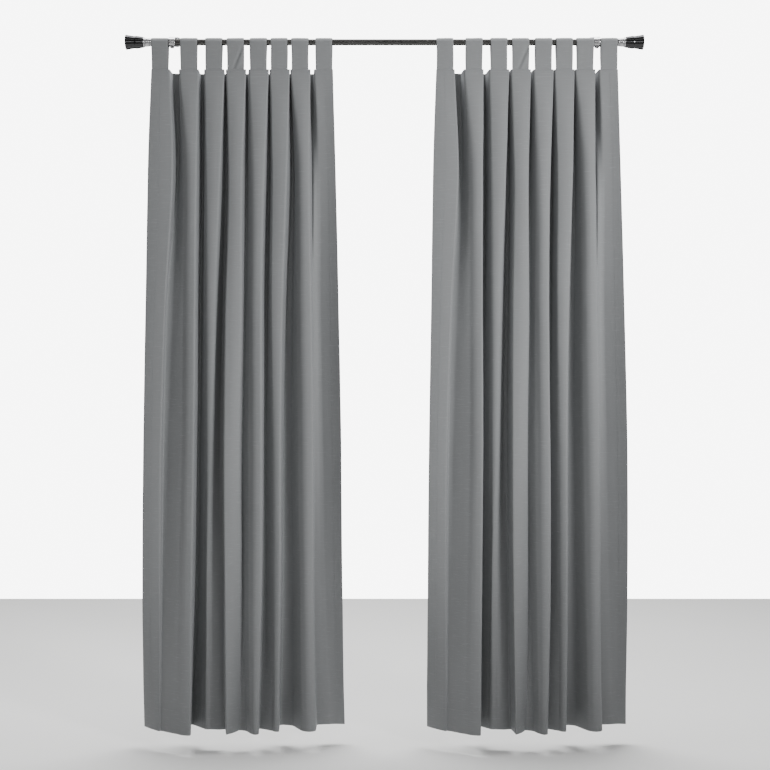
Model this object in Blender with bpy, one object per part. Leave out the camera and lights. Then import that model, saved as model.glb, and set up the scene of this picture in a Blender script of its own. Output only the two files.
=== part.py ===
"""Pair of tab-top curtain panels hanging on a wall-mounted rod.

Metres, +Z up. The wall is the plane y = 0 and the room is on its -Y side. The origin is
the point of the wall midway between the brackets, level with the rod's axis.
"""

import math

import bmesh
import bpy
from mathutils import Matrix, Vector

# ---------------------------------------------------------------- driving dimensions

OVERALL_WIDTH = 1.598       # finial tip to finial tip
WALL_TO_ROD = 0.090         # projection of the rod's axis
FIT = 0.0003                # gap between pieces that touch

ROD_RADIUS = 0.0095
ROD_WALL = 0.0012
ROD_IN_COLLAR = 0.008       # length of tube end seated in the finial's collar

FINIAL_LENGTH = 0.055
FINIAL_TIP_RADIUS = 0.0230
FINIAL_WAIST = 0.026        # from the tip to the waist of the flared end
FINIAL_WAIST_RADIUS = 0.0188
FINIAL_BEAD = 0.034         # from the tip to the bead
FINIAL_BEAD_RADIUS = 0.0192
FINIAL_NECK_RADIUS = 0.0158
FINIAL_EDGE = 0.0016        # rounded lip of the flared end
FINIAL_DISH = 0.0040        # depth of the hollow in the end face
COLLAR_LENGTH = 0.0235
COLLAR_OUTER_RADIUS = 0.0148
COLLAR_WALL = 0.0026        # round the tube's end
COLLAR_EASE = 0.0006        # eased edges
STUD_RADIUS = 0.0030
STUD_IN_FINIAL = 0.020
STUD_SHORT = 0.002          # the stud stops this far inside the plug's inner end
PLUG_LENGTH = 0.022

RING_WIDTH = 0.020
RING_WALL = 0.0040
RING_EASE = 0.0012          # eased edges
LOBE_RADIUS = 0.0095
LOBE_BACK = 0.0050          # centre of the ring's upper lobe, behind the rod's axis
LOBE_UP = 0.0085            # and above it
ARM_RADIUS = 0.0045
ARM_STOP_WALL = 0.0015      # metal between the arm's end and the ring's bore
FLANGE_RADIUS = 0.0160
FLANGE_PLATE = 0.0030
FLANGE_CHAMFER = 0.0012
FLANGE_HUB = 0.0080         # hub height, from the wall
FLANGE_HUB_WALL = 0.0018
FLANGE_FLOOR = 0.0037       # metal left behind the arm's socket
FLANGE_UP = 0.0260          # flange centre above the rod's axis
WALL_SCREW_RADIUS = 0.0019
WALL_SCREW_HEAD_RADIUS = 0.0034
WALL_SCREW_HEAD = 0.0022
WALL_SCREW_INSET = 0.0044   # screw axis in from the flange's edge
RING_SCREW_RADIUS = 0.0020
RING_SCREW_HEAD_RADIUS = 0.0065
RING_SCREW_HEAD = 0.0036
RING_SCREW_EASE = 0.0006    # eased edges of its head
CUT_BEYOND = 0.010          # how far a cutter runs past the metal

TAB_WIDTH = 0.053
TAB_CLOTH = 0.0040
TAB_FOOT = 0.0100           # height of the doubled cloth at the foot of a strap
TAB_FOOT_OPENING = 0.0008   # half the gap between the layers just above it
TAB_TOP_TO_SEAM = 0.098
TAB_TOP_TO_HEM = 2.134      # cut length of the panel, tabs included
PANEL_CLOTH = 0.0025
MITRE_LIMIT = 1.8           # most a sharp fold's corner may reach, in cloth thicknesses
TAB_CLEARANCE = 0.0005      # tab to bracket ring
FINIAL_CLEARANCE = 0.0008   # outermost tab to the finial's collar

# Free rod between neighbouring tabs, from the outermost tab inwards, after the first
# gap, which holds the bracket's ring.
LEFT_RING_TO_TAB = 0.0155
LEFT_GAPS = (0.024, 0.0142, 0.0172, 0.0115, 0.011, 0.021)
RIGHT_RING_TO_TAB = TAB_CLEARANCE
RIGHT_GAPS = (0.011, 0.0115, 0.0172, 0.0142, 0.024, 0.036)

# Plans of the folds from left to right across a panel, in millimetres for tabs as wide as
# PLAN_TAB_WIDTH, at each share of the way from seam to hem. A front is (left corner's distance
# from the tab's centre, its depth behind the rod's axis, right corner's distance, its depth).
# A valley is the same for its two corners, from the middle of the gap between two tabs.
FOLD_SHARES = (0.0, 0.137, 0.350, 0.562, 0.805, 1.0)
FRONTS = (
    ((-27.0, -2, 29.0, -2), (-30.5, -2, 29.5, -2)) + ((-29.5, -2, 32.0, -2),) * 5 + ((-30.5, -2, 27.5, -2),),
    (
        (-37.5, -2, 40.0, -5), (-16.0, -4, 26.1, -12), (-27.5, 0, 23.2, -5), (-21.5, -7, 24.5, -10),
        (-23.0, -6, 23.0, -11), (-21.5, -2, 27.4, -7), (-10.9, -2, 30.8, -7), (-17.0, 14, 35.3, 0),
    ),
    (
        (-45.0, 0, 22.0, -7), (-14.0, -16, 26.5, -30), (-25.5, 2, 9.0, -4), (-26.5, -20, 25.0, -18),
        (-21.0, -14, 15.0, -24), (-21.5, -6, 13.4, -12), (-5.0, -2, 36.0, -9), (-15.0, 24, 43.0, -8),
    ),
    (
        (-50.2, 1, 10.0, -8), (-12.0, -26, 26.5, -42), (-24.5, 6, 0.0, -1), (-28.0, -34, 18.5, -24),
        (-18.0, -24, 14.5, -34), (-18.0, -8, 5.8, -17), (0.0, -2, 41.6, -12), (-11.0, 28, 51.0, -8),
    ),
    (
        (-52.0, 3, 3.9, -12), (-20.0, -38, 20.0, -56), (-24.5, 8, -14.0, 1), (-25.5, -48, 18.5, -20),
        (-19.0, -38, 13.0, -46), (-19.5, -12, 5.0, -22), (5.0, -12, 45.0, -15), (-4.0, 34, 57.0, 10),
    ),
    (
        (-53.1, 34, 0.9, -18), (-28.1, -50, 15.9, -68), (-33.1, 12, -12.1, 2), (-21.3, -57, 12.1, -9),
        (-16.5, -50, 6.5, -55), (-20.0, -14, 2.0, -26), (11.0, -24, 50.4, -18), (12.0, 57, 63.0, 58),
    ),
)
VALLEYS = (
    (
        (-15.0, 48, 8.0, 50), (-12.0, 54, 2.0, 54), (-8.0, 54, -1.5, 54), (-12.5, 54, -2.0, 54),
        (-8.0, 54, -1.5, 54), (-6.5, 54, -1.0, 54), (-12.0, 54, 3.0, 54),
    ),
    (
        (1.0, 48, 12.0, 46), (-5.0, 55, 3.0, 54), (-5.0, 52, 2.0, 52), (-7.0, 42, -1.0, 38),
        (-6.0, 48, 0.0, 46), (0.0, 54, 8.0, 54), (-3.0, 30, 3.0, 20),
    ),
    (
        (-26.0, 20, -10.0, 16), (-12.0, 54, -4.0, 52), (-13.0, 46, -2.0, 46), (-12.0, 24, -4.0, 16),
        (-16.0, 42, -4.0, 38), (-16.0, 54, 6.0, 54), (-2.0, 18, 5.0, 20),
    ),
    (
        (-37.0, 10, -24.0, 8), (-20.0, 54, -10.0, 50), (-21.0, 34, -5.0, 38), (-19.0, 10, -8.0, 2),
        (-19.0, 34, -8.0, 30), (-24.0, 55, 2.0, 52), (0.0, 18, 8.0, 22),
    ),
    (
        (-40.0, 0, -27.0, -4), (-30.0, 55, -16.0, 50), (-18.0, 14, 0.0, 20), (-18.0, 0, -4.0, -6),
        (-22.0, 22, -9.0, 18), (-28.0, 54, 5.0, 48), (4.0, 28, 13.0, 32),
    ),
    (
        (-40.0, -12, -30.0, -17), (-41.6, 57, -25.0, 46), (-14.0, -3, 4.0, 4), (-15.0, -8, 0.5, -15),
        (-31.0, 10, -16.0, 4), (-34.0, 53, 6.0, 44), (12.0, 52, 24.0, 55),
    ),
)
# The whole panel hangs this much further forward, which brings its weight under the rod.
HANG_FORWARD = (0.0, 5.0, 9.0, 11.0, 10.0, 8.0)
MM = 0.001
PLAN_TAB_WIDTH = 53.0

ROUND = 24                  # sides of a large round piece
ROUND_SMALL = 12

# ---------------------------------------------------------------- derived places

ROD_AXIS = Vector((0.0, -WALL_TO_ROD, 0.0))
ACROSS = TAB_WIDTH / PLAN_TAB_WIDTH      # metres across the panel for each unit of the plans
COLLAR_INNER_END = OVERALL_WIDTH / 2 - FINIAL_LENGTH - FIT - COLLAR_LENGTH
ROD_HALF = COLLAR_INNER_END + ROD_IN_COLLAR - FIT
TAB_TOP = ROD_RADIUS + FIT + TAB_CLOTH
SEAM_Z = TAB_TOP - TAB_TOP_TO_SEAM
HEM_Z = TAB_TOP - TAB_TOP_TO_HEM
RING_X = COLLAR_INNER_END - FINIAL_CLEARANCE - TAB_WIDTH - TAB_CLEARANCE - RING_WIDTH / 2
RING_BORE = ROD_RADIUS + FIT
RING_RADIUS = RING_BORE + RING_WALL
FLANGE_CENTRE = Vector((0.0, 0.0, FLANGE_UP))
LOBE_CENTRE = ROD_AXIS + Vector((0.0, LOBE_BACK, LOBE_UP))


def clear_scene():
    for thing in list(bpy.data.objects):
        bpy.data.objects.remove(thing, do_unlink=True)


# ---------------------------------------------------------------- materials

def finish(name, colour, roughness, metallic):
    material = bpy.data.materials.new(name)
    material.use_nodes = True
    shader = material.node_tree.nodes["Principled BSDF"]
    shader.inputs["Base Color"].default_value = (*colour, 1.0)
    shader.inputs["Roughness"].default_value = roughness
    shader.inputs["Metallic"].default_value = metallic
    material.diffuse_color = (*colour, 1.0)
    return material


# ---------------------------------------------------------------- mesh helpers

def add_object(name, mesh, material, smooth=True):
    if smooth:
        mesh.shade_smooth()
        mesh.set_sharp_from_angle(angle=math.radians(35))
    mesh.materials.append(material)
    thing = bpy.data.objects.new(name, mesh)
    bpy.context.scene.collection.objects.link(thing)
    return thing


def mesh_from(name, points, faces):
    """A mesh with its faces turned to point outwards."""
    mesh = bpy.data.meshes.new(name)
    work = bmesh.new()
    verts = [work.verts.new(point) for point in points]
    for face in faces:
        work.faces.new([verts[index] for index in face])
    bmesh.ops.recalc_face_normals(work, faces=work.faces)
    work.to_mesh(mesh)
    work.free()
    return mesh


def turned_mesh(name, profile, sides):
    """Turn (distance along the axis, radius) points round +Z.

    A profile whose ends lie on the axis makes a solid with flat ends; any other is closed
    on itself and makes a solid with a hole along the axis.
    """
    solid = profile[0][1] == 0.0 and profile[-1][1] == 0.0
    turned_points = profile[1:-1] if solid else profile
    points = []
    rings = []
    for along, radius in turned_points:
        rings.append(list(range(len(points), len(points) + sides)))
        for side in range(sides):
            angle = 2 * math.pi * (side + 0.5) / sides
            points.append((radius * math.cos(angle), radius * math.sin(angle), along))
    pairs = list(zip(rings, rings[1:]))
    if not solid:
        pairs.append((rings[-1], rings[0]))
    faces = [rings[0], rings[-1]] if solid else []
    for lower, upper in pairs:
        for side in range(sides):
            following = (side + 1) % sides
            faces.append([lower[side], lower[following], upper[following], upper[side]])
    return mesh_from(name, points, faces)


def turned(name, profile, material, sides=ROUND):
    return add_object(name, turned_mesh(name, profile, sides), material)


def place(thing, centre, axis):
    """Put an object's own origin at centre and its Z along axis."""
    turn = Vector(axis).normalized().to_track_quat("Z", "Y")
    thing.matrix_world = Matrix.Translation(centre) @ turn.to_matrix().to_4x4()
    return thing


def rod_profile(length, radius, start=0.0):
    return [(start, 0.0), (start, radius), (start + length, radius), (start + length, 0.0)]


def cutter(name, start, end, radius):
    """A hidden round cutter between two points."""
    span = Vector(end) - Vector(start)
    mesh = turned_mesh(name, rod_profile(span.length, radius), ROUND)
    thing = bpy.data.objects.new(name, mesh)
    bpy.context.scene.collection.objects.link(thing)
    place(thing, Vector(start), span)
    thing.hide_render = True
    thing.display_type = "WIRE"
    return thing


def cut(thing, tool):
    modifier = thing.modifiers.new(tool.name, "BOOLEAN")
    modifier.operation = "DIFFERENCE"
    modifier.solver = "EXACT"
    modifier.object = tool


# ---------------------------------------------------------------- rod and finials

def build_rod(steel):
    """Steel tube, open at both ends."""
    bore = ROD_RADIUS - ROD_WALL
    profile = [(-ROD_HALF, ROD_RADIUS), (ROD_HALF, ROD_RADIUS), (ROD_HALF, bore), (-ROD_HALF, bore)]
    place(turned("rod_tube", profile, steel), ROD_AXIS, (1, 0, 0))


def finial_profile(neck):
    """Outside of the trumpet from its neck to its lip: a cone, a low bead, a waist and a flare."""
    tip = neck + FINIAL_LENGTH
    profile = [(neck, FINIAL_NECK_RADIUS)]
    for share in (0.35, 0.7, 1.0):
        bulge = math.sin(share * math.pi / 2)
        radius = FINIAL_NECK_RADIUS + (FINIAL_BEAD_RADIUS - FINIAL_NECK_RADIUS) * bulge
        profile.append((neck + (tip - FINIAL_BEAD - neck) * share, radius))
    profile.append((tip - FINIAL_WAIST, FINIAL_WAIST_RADIUS))
    for share in (0.4, 0.75, 1.0):
        radius = FINIAL_WAIST_RADIUS + (FINIAL_TIP_RADIUS - FINIAL_WAIST_RADIUS) * share ** 1.2
        profile.append((tip - FINIAL_EDGE - (FINIAL_WAIST - FINIAL_EDGE) * (1 - share), radius))
    return profile


def build_finial(side, sign, black, nickel, zinc):
    """Trumpet, collar, stud and the threaded plug in the tube's end."""
    outward = (sign, 0, 0)
    neck = COLLAR_INNER_END + COLLAR_LENGTH + FIT
    hole = STUD_RADIUS + FIT
    profile = [(neck + STUD_IN_FINIAL + FIT, 0.0), (neck + STUD_IN_FINIAL + FIT, hole), (neck, hole)]
    profile += finial_profile(neck)
    lip = FINIAL_TIP_RADIUS - FINIAL_EDGE
    profile += [(neck + FINIAL_LENGTH, lip)]
    profile += [(neck + FINIAL_LENGTH - FINIAL_DISH * 0.6, lip * 0.72)]
    profile += [(neck + FINIAL_LENGTH - FINIAL_DISH, lip * 0.35)]
    profile += [(neck + FINIAL_LENGTH - FINIAL_DISH, 0.0)]
    place(turned("finial_" + side, profile, black, ROUND), ROD_AXIS, outward)

    socket = ROD_RADIUS + FIT
    socket_end = COLLAR_INNER_END + ROD_IN_COLLAR
    collar_foot = socket + COLLAR_WALL
    collar = [
        (COLLAR_INNER_END, socket),
        (COLLAR_INNER_END, collar_foot - COLLAR_EASE),
        (COLLAR_INNER_END + COLLAR_EASE, collar_foot),
        (COLLAR_INNER_END + COLLAR_LENGTH - COLLAR_EASE, COLLAR_OUTER_RADIUS),
        (COLLAR_INNER_END + COLLAR_LENGTH, COLLAR_OUTER_RADIUS - COLLAR_EASE),
        (COLLAR_INNER_END + COLLAR_LENGTH, hole),
        (socket_end, hole),
        (socket_end, socket),
    ]
    place(turned("finial_collar_" + side, collar, nickel), ROD_AXIS, outward)

    plug_inner = ROD_HALF - PLUG_LENGTH
    plug_radius = ROD_RADIUS - ROD_WALL - FIT
    plug = [(plug_inner, plug_radius), (ROD_HALF, plug_radius), (ROD_HALF, hole), (plug_inner, hole)]
    place(turned("rod_plug_" + side, plug, zinc, ROUND_SMALL), ROD_AXIS, outward)

    stud_start = plug_inner + STUD_SHORT
    stud_end = neck + STUD_IN_FINIAL
    stud = rod_profile(stud_end - stud_start, STUD_RADIUS, stud_start)
    place(turned("finial_stud_" + side, stud, zinc, ROUND_SMALL), ROD_AXIS, outward)


# ---------------------------------------------------------------- brackets

def ring_outline():
    """Side view of the bracket's ring, as (y, z): a round barrel with an upper lobe.

    The two circles are joined by their common outer tangents.
    """
    centre = Vector((ROD_AXIS.y, ROD_AXIS.z))
    lobe = Vector((LOBE_CENTRE.y, LOBE_CENTRE.z))
    span = lobe - centre
    heading = math.atan2(span.y, span.x)
    reach = math.acos((RING_RADIUS - LOBE_RADIUS) / span.length)
    outline = []
    steps = 18
    for step in range(steps + 1):
        angle = heading + reach + (2 * math.pi - 2 * reach) * step / steps
        outline.append(centre + RING_RADIUS * Vector((math.cos(angle), math.sin(angle))))
    steps = 9
    for step in range(steps + 1):
        angle = heading - reach + 2 * reach * step / steps
        outline.append(lobe + LOBE_RADIUS * Vector((math.cos(angle), math.sin(angle))))
    return outline


def arm_ends():
    """Start, inside the flange's hub, and end, inside the ring's lobe, of the round arm.

    The arm stops where its lower edge comes within ARM_STOP_WALL of the ring's bore.
    """
    heading = (LOBE_CENTRE - FLANGE_CENTRE).normalized()
    start = FLANGE_CENTRE + heading * (FLANGE_FLOOR / abs(heading.y))
    downward = Vector((0.0, -heading.z, heading.y))
    if downward.z > 0:
        downward = -downward
    edge = LOBE_CENTRE + downward * (ARM_RADIUS + FIT) - ROD_AXIS
    along = edge.dot(heading)
    across_squared = edge.length_squared - along ** 2
    clear = RING_BORE + ARM_STOP_WALL
    back = along + math.sqrt(max(0.0, clear ** 2 - across_squared))
    return start, LOBE_CENTRE - heading * back, heading


def build_bracket(side, sign, nickel, zinc):
    """Wall flange, arm, rod ring, its thumb screw and two wall screws."""
    centre_x = Vector((sign * RING_X, 0, 0))
    arm_start, arm_end, heading = arm_ends()
    arm_start = arm_start + centre_x
    arm_end = arm_end + centre_x
    flange_centre = FLANGE_CENTRE + centre_x
    ring_axis = ROD_AXIS + centre_x

    # Ring: the outline drawn across the rod, with its edges eased.
    outline = ring_outline()
    half = RING_WIDTH / 2
    mesh_points = []
    middle = sum(outline, Vector((0.0, 0.0))) / len(outline)
    for offset, inset in (
        (-half, RING_EASE), (-half + RING_EASE, 0.0), (half - RING_EASE, 0.0), (half, RING_EASE),
    ):
        for point in outline:
            pulled = point + (middle - point).normalized() * inset
            mesh_points.append((centre_x.x + offset, pulled.x, pulled.y))
    count = len(outline)
    faces = [list(range(count)), list(range(3 * count, 4 * count))]
    for level in range(3):
        for index in range(count):
            following = (index + 1) % count
            base = level * count
            faces.append([base + index, base + following, base + count + following, base + count + index])
    ring = add_object("bracket_ring_" + side, mesh_from("ring", mesh_points, faces), nickel)
    reach = Vector((RING_WIDTH, 0, 0))
    cut(ring, cutter("ring_bore_" + side, ring_axis - reach, ring_axis + reach, RING_BORE))
    socket_back = arm_end - heading * (2 * LOBE_RADIUS)
    cut(ring, cutter("arm_socket_" + side, socket_back, arm_end + heading * FIT, ARM_RADIUS + FIT))
    below = ring_axis - Vector((0, 0, 2 * RING_RADIUS))
    cut(ring, cutter("ring_screw_hole_" + side, below, ring_axis, RING_SCREW_RADIUS + FIT))

    # Arm.
    arm_length = (arm_end - arm_start).length - FIT
    arm = turned("bracket_arm_" + side, rod_profile(arm_length, ARM_RADIUS), nickel, ROUND_SMALL + 8)
    place(arm, arm_start + heading * FIT, heading)

    # Flange: a plate with a hub that takes the arm, and two screw holes.
    hub = ARM_RADIUS + FIT + FLANGE_HUB_WALL
    profile = [
        (0.0, 0.0), (0.0, FLANGE_RADIUS), (FLANGE_PLATE * 0.6, FLANGE_RADIUS),
        (FLANGE_PLATE, FLANGE_RADIUS - FLANGE_CHAMFER), (FLANGE_PLATE, hub), (FLANGE_HUB, hub), (FLANGE_HUB, 0.0),
    ]
    flange = place(turned("bracket_flange_" + side, profile, nickel), flange_centre, (0, -1, 0))
    cut(flange, cutter("hub_socket_" + side, arm_start, arm_start + heading * (FLANGE_HUB + CUT_BEYOND), ARM_RADIUS + FIT))
    screw_reach = FLANGE_RADIUS - WALL_SCREW_INSET
    for place_name, up in (("upper", screw_reach), ("lower", -screw_reach)):
        screw_axis = flange_centre + Vector((0, 0, up))
        through = Vector((0, CUT_BEYOND, 0))
        hole = cutter("wall_hole_" + place_name + side, screw_axis + through, screw_axis - through,
                      WALL_SCREW_RADIUS + FIT)
        cut(flange, hole)
        seat = FLANGE_PLATE + FIT
        screw = [
            (0.0, 0.0), (0.0, WALL_SCREW_RADIUS), (seat, WALL_SCREW_RADIUS), (seat, WALL_SCREW_HEAD_RADIUS),
            (seat + WALL_SCREW_HEAD * 0.5, WALL_SCREW_HEAD_RADIUS * 0.92),
            (seat + WALL_SCREW_HEAD, WALL_SCREW_HEAD_RADIUS * 0.45), (seat + WALL_SCREW_HEAD, 0.0),
        ]
        name = "wall_screw_" + side + "_" + place_name
        place(turned(name, screw, zinc, ROUND_SMALL), screw_axis, (0, -1, 0))

    # Thumb screw under the ring: its tip stops just short of the rod.
    tip = ROD_RADIUS + FIT
    seat = RING_RADIUS + FIT
    screw = [
        (tip, 0.0), (tip, RING_SCREW_RADIUS), (seat, RING_SCREW_RADIUS), (seat, RING_SCREW_HEAD_RADIUS - RING_SCREW_EASE),
        (seat + RING_SCREW_EASE, RING_SCREW_HEAD_RADIUS),
        (seat + RING_SCREW_HEAD - RING_SCREW_EASE, RING_SCREW_HEAD_RADIUS),
        (seat + RING_SCREW_HEAD, RING_SCREW_HEAD_RADIUS - RING_SCREW_EASE), (seat + RING_SCREW_HEAD, 0.0),
    ]
    place(turned("ring_screw_" + side, screw, nickel, ROUND_SMALL + 8), ring_axis, (0, 0, -1))


# ---------------------------------------------------------------- tabs

def loop_outline(radius, foot_z, foot_half):
    """Side view of a strap hung over the rod, as (y, z): round above, tapering to its foot."""
    points = []
    steps = 12
    for step in range(steps + 1):
        angle = math.pi * step / steps
        points.append((ROD_AXIS.y - radius * math.cos(angle), radius * math.sin(angle)))
    points.append((ROD_AXIS.y + foot_half, foot_z))
    points.append((ROD_AXIS.y - foot_half, foot_z))
    return points


def build_tab(name, centre, cloth):
    """One strap: over the rod, down in front and behind, and sewn together at the foot."""
    inner_radius = ROD_RADIUS + FIT
    outer = loop_outline(TAB_TOP, SEAM_Z, TAB_CLOTH)
    inner = loop_outline(inner_radius, SEAM_Z + TAB_FOOT, TAB_FOOT_OPENING)
    count = len(outer)
    points = []
    for x in (centre - TAB_WIDTH / 2, centre + TAB_WIDTH / 2):
        for outline in (outer, inner):
            points += [(x, y, z) for y, z in outline]
    faces = []
    for index in range(count):
        following = (index + 1) % count
        for left, right in ((0, count), (2 * count, 3 * count), (0, 2 * count), (count, 3 * count)):
            faces.append([left + index, left + following, right + following, right + index])
    add_object(name, mesh_from(name, points, faces), cloth)


# ---------------------------------------------------------------- panels

def offset_path(points, thickness):
    """The path moved to its left, with mitred corners."""
    moved = []
    for index, point in enumerate(points):
        before = (point - points[index - 1]).normalized() if index else None
        after = (points[index + 1] - point).normalized() if index < len(points) - 1 else None
        before = before or after
        after = after or before
        normal_a = Vector((-before.y, before.x))
        normal_b = Vector((-after.y, after.x))
        bisector = normal_a + normal_b
        bisector = bisector.normalized() if bisector.length > 1.0 / MITRE_LIMIT else normal_a
        stretch = min(MITRE_LIMIT, 1.0 / max(1.0 / (2.0 * MITRE_LIMIT), bisector.dot(normal_a)))
        moved.append(point + bisector * thickness * stretch)
    return moved


def valley_corners(tabs, level, index):
    """The two corners of the valley after a pleat, as (x, depth)."""
    middle = (tabs[index] + tabs[index + 1]) / 2
    left, left_depth, right, right_depth = VALLEYS[level][index]
    return (
        Vector((middle + left * ACROSS, left_depth * MM)),
        Vector((middle + right * ACROSS, right_depth * MM)),
    )


def pleat_plan(tabs, level, index):
    """Plan of one pleat as a path from the middle of one valley to the middle of the next."""
    left, left_depth, right, right_depth = FRONTS[level][index]
    path = [
        Vector((tabs[index] + left * ACROSS, left_depth * MM)),
        Vector((tabs[index] + right * ACROSS, right_depth * MM)),
    ]
    half_fit = Vector((FIT / 2, 0.0))
    if index > 0:
        start, end = valley_corners(tabs, level, index - 1)
        path = [(start + end) / 2 + half_fit, end] + path
    if index < len(tabs) - 1:
        start, end = valley_corners(tabs, level, index)
        path += [start, (start + end) / 2 - half_fit]
    return path


def build_pleat(name, tabs, index, cloth):
    """One pleat of the panel, from the seam to the hem, as a folded sheet with a thickness."""
    points = []
    top = SEAM_Z - FIT
    for level, share in enumerate(FOLD_SHARES):
        path = pleat_plan(tabs, level, index)
        ring = path + offset_path(path, PANEL_CLOTH)[::-1]
        z = top + (HEM_Z - top) * share
        points += [(point.x, ROD_AXIS.y + point.y - HANG_FORWARD[level] * MM, z) for point in ring]
    count = len(points) // len(FOLD_SHARES)
    steps = count // 2 - 1
    faces = []
    for level in range(len(FOLD_SHARES) - 1):
        base = level * count
        # The same diagonal splits each facet in front and behind, so the sheet keeps its thickness.
        for step in range(steps):
            for near, far in ((step, step + 1), (count - 1 - step, count - 2 - step)):
                faces.append([base + near, base + far, base + count + far])
                faces.append([base + near, base + count + far, base + count + near])
        for front in (0, steps):
            behind = count - 1 - front
            faces.append([base + front, base + behind, base + count + behind])
            faces.append([base + front, base + count + behind, base + count + front])
    for base in (0, (len(FOLD_SHARES) - 1) * count):
        for step in range(steps):
            faces.append([base + step, base + step + 1, base + count - 2 - step, base + count - 1 - step])
    add_object(name, mesh_from(name, points, faces), cloth)


def tab_places(sign, first_gap, gaps):
    """Tab centres from the outermost one inwards."""
    centre = COLLAR_INNER_END - FINIAL_CLEARANCE - TAB_WIDTH / 2
    centres = [sign * centre]
    for gap in (TAB_CLEARANCE + RING_WIDTH + first_gap, *gaps):
        centre -= TAB_WIDTH + gap
        centres.append(sign * centre)
    return centres


def build_curtain(side, tabs, cloth):
    """Eight tabs and eight pleats, numbered from the outer edge of the window inwards."""
    left_to_right = sorted(tabs)
    for number, centre in enumerate(tabs, start=1):
        build_tab(side + "_tab_" + str(number), centre, cloth)
        build_pleat(side + "_panel_" + str(number), left_to_right, left_to_right.index(centre), cloth)


# ---------------------------------------------------------------- the whole part

def main():
    clear_scene()
    gunmetal = finish("gunmetal", (0.055, 0.050, 0.047), 0.38, 0.9)
    gloss_black = finish("gloss black", (0.006, 0.006, 0.006), 0.18, 0.0)
    nickel = finish("satin nickel", (0.52, 0.52, 0.53), 0.30, 1.0)
    zinc = finish("zinc", (0.40, 0.41, 0.42), 0.40, 1.0)
    grey_cloth = finish("grey cloth", (0.24, 0.25, 0.255), 0.80, 0.0)

    build_rod(gunmetal)
    for side, sign in (("left", -1), ("right", 1)):
        build_finial(side, sign, gloss_black, nickel, zinc)
        build_bracket(side, sign, nickel, zinc)
    build_curtain("left", tab_places(-1, LEFT_RING_TO_TAB, LEFT_GAPS), grey_cloth)
    build_curtain("right", tab_places(1, RIGHT_RING_TO_TAB, RIGHT_GAPS), grey_cloth)


main()
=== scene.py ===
"""A pair of tab-top curtain panels on a wall-mounted rod, dressed in cloth, steel and nickel.

Metres, +Z up. The wall is the plane y = 0 and the room is on its -Y side.
"""

import math

import bmesh
import bpy
import numpy as np
from bpy.props import FloatProperty, FloatVectorProperty, IntProperty, PointerProperty
from mathutils import Matrix, Vector, noise


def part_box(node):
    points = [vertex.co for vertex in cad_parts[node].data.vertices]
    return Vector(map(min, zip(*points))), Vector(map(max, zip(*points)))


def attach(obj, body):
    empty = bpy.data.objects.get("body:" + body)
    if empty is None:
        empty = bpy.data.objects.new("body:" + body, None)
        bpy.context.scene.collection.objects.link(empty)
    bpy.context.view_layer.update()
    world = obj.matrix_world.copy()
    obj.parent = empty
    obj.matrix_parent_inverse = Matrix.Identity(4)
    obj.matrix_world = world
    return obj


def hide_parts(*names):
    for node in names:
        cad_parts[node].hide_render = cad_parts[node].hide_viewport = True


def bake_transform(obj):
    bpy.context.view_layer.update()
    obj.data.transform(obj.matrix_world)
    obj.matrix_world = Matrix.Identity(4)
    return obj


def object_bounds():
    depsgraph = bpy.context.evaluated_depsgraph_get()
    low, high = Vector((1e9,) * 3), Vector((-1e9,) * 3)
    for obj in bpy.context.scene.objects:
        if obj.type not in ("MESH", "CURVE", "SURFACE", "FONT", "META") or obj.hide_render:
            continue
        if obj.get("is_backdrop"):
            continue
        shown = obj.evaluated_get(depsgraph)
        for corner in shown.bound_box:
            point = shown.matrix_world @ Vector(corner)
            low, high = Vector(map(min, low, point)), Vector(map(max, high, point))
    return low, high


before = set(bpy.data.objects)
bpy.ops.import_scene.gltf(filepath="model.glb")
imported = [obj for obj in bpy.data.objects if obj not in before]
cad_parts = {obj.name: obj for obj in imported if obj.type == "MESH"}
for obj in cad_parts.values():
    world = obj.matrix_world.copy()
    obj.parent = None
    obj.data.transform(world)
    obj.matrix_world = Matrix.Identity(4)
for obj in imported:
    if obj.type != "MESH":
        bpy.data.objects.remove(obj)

bl_info = {
    "name": "Tab-top curtains on a rod",
    "version": (1, 0, 0),
    "blender": (4, 5, 0),
    "location": "View3D > Sidebar > Curtains",
    "description": "Builds a pair of tab-top curtains with their rod, finials and wall brackets",
    "category": "Object",
}

SIDES = ("left", "right")
PLEATS = 8


# ---------------------------------------------------------------- settings

def colour_property(name, description, default):
    return FloatVectorProperty(
        name=name, description=description, default=default, size=3, min=0.0, max=1.0, subtype="COLOR")


def length_property(name, description, default):
    return FloatProperty(name=name, description=description, default=default, min=0.0, precision=4,
                         subtype="DISTANCE", unit="LENGTH")


def power_property(name, description, default):
    return FloatProperty(name=name, description=description, default=default, min=0.0, unit="POWER")


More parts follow.
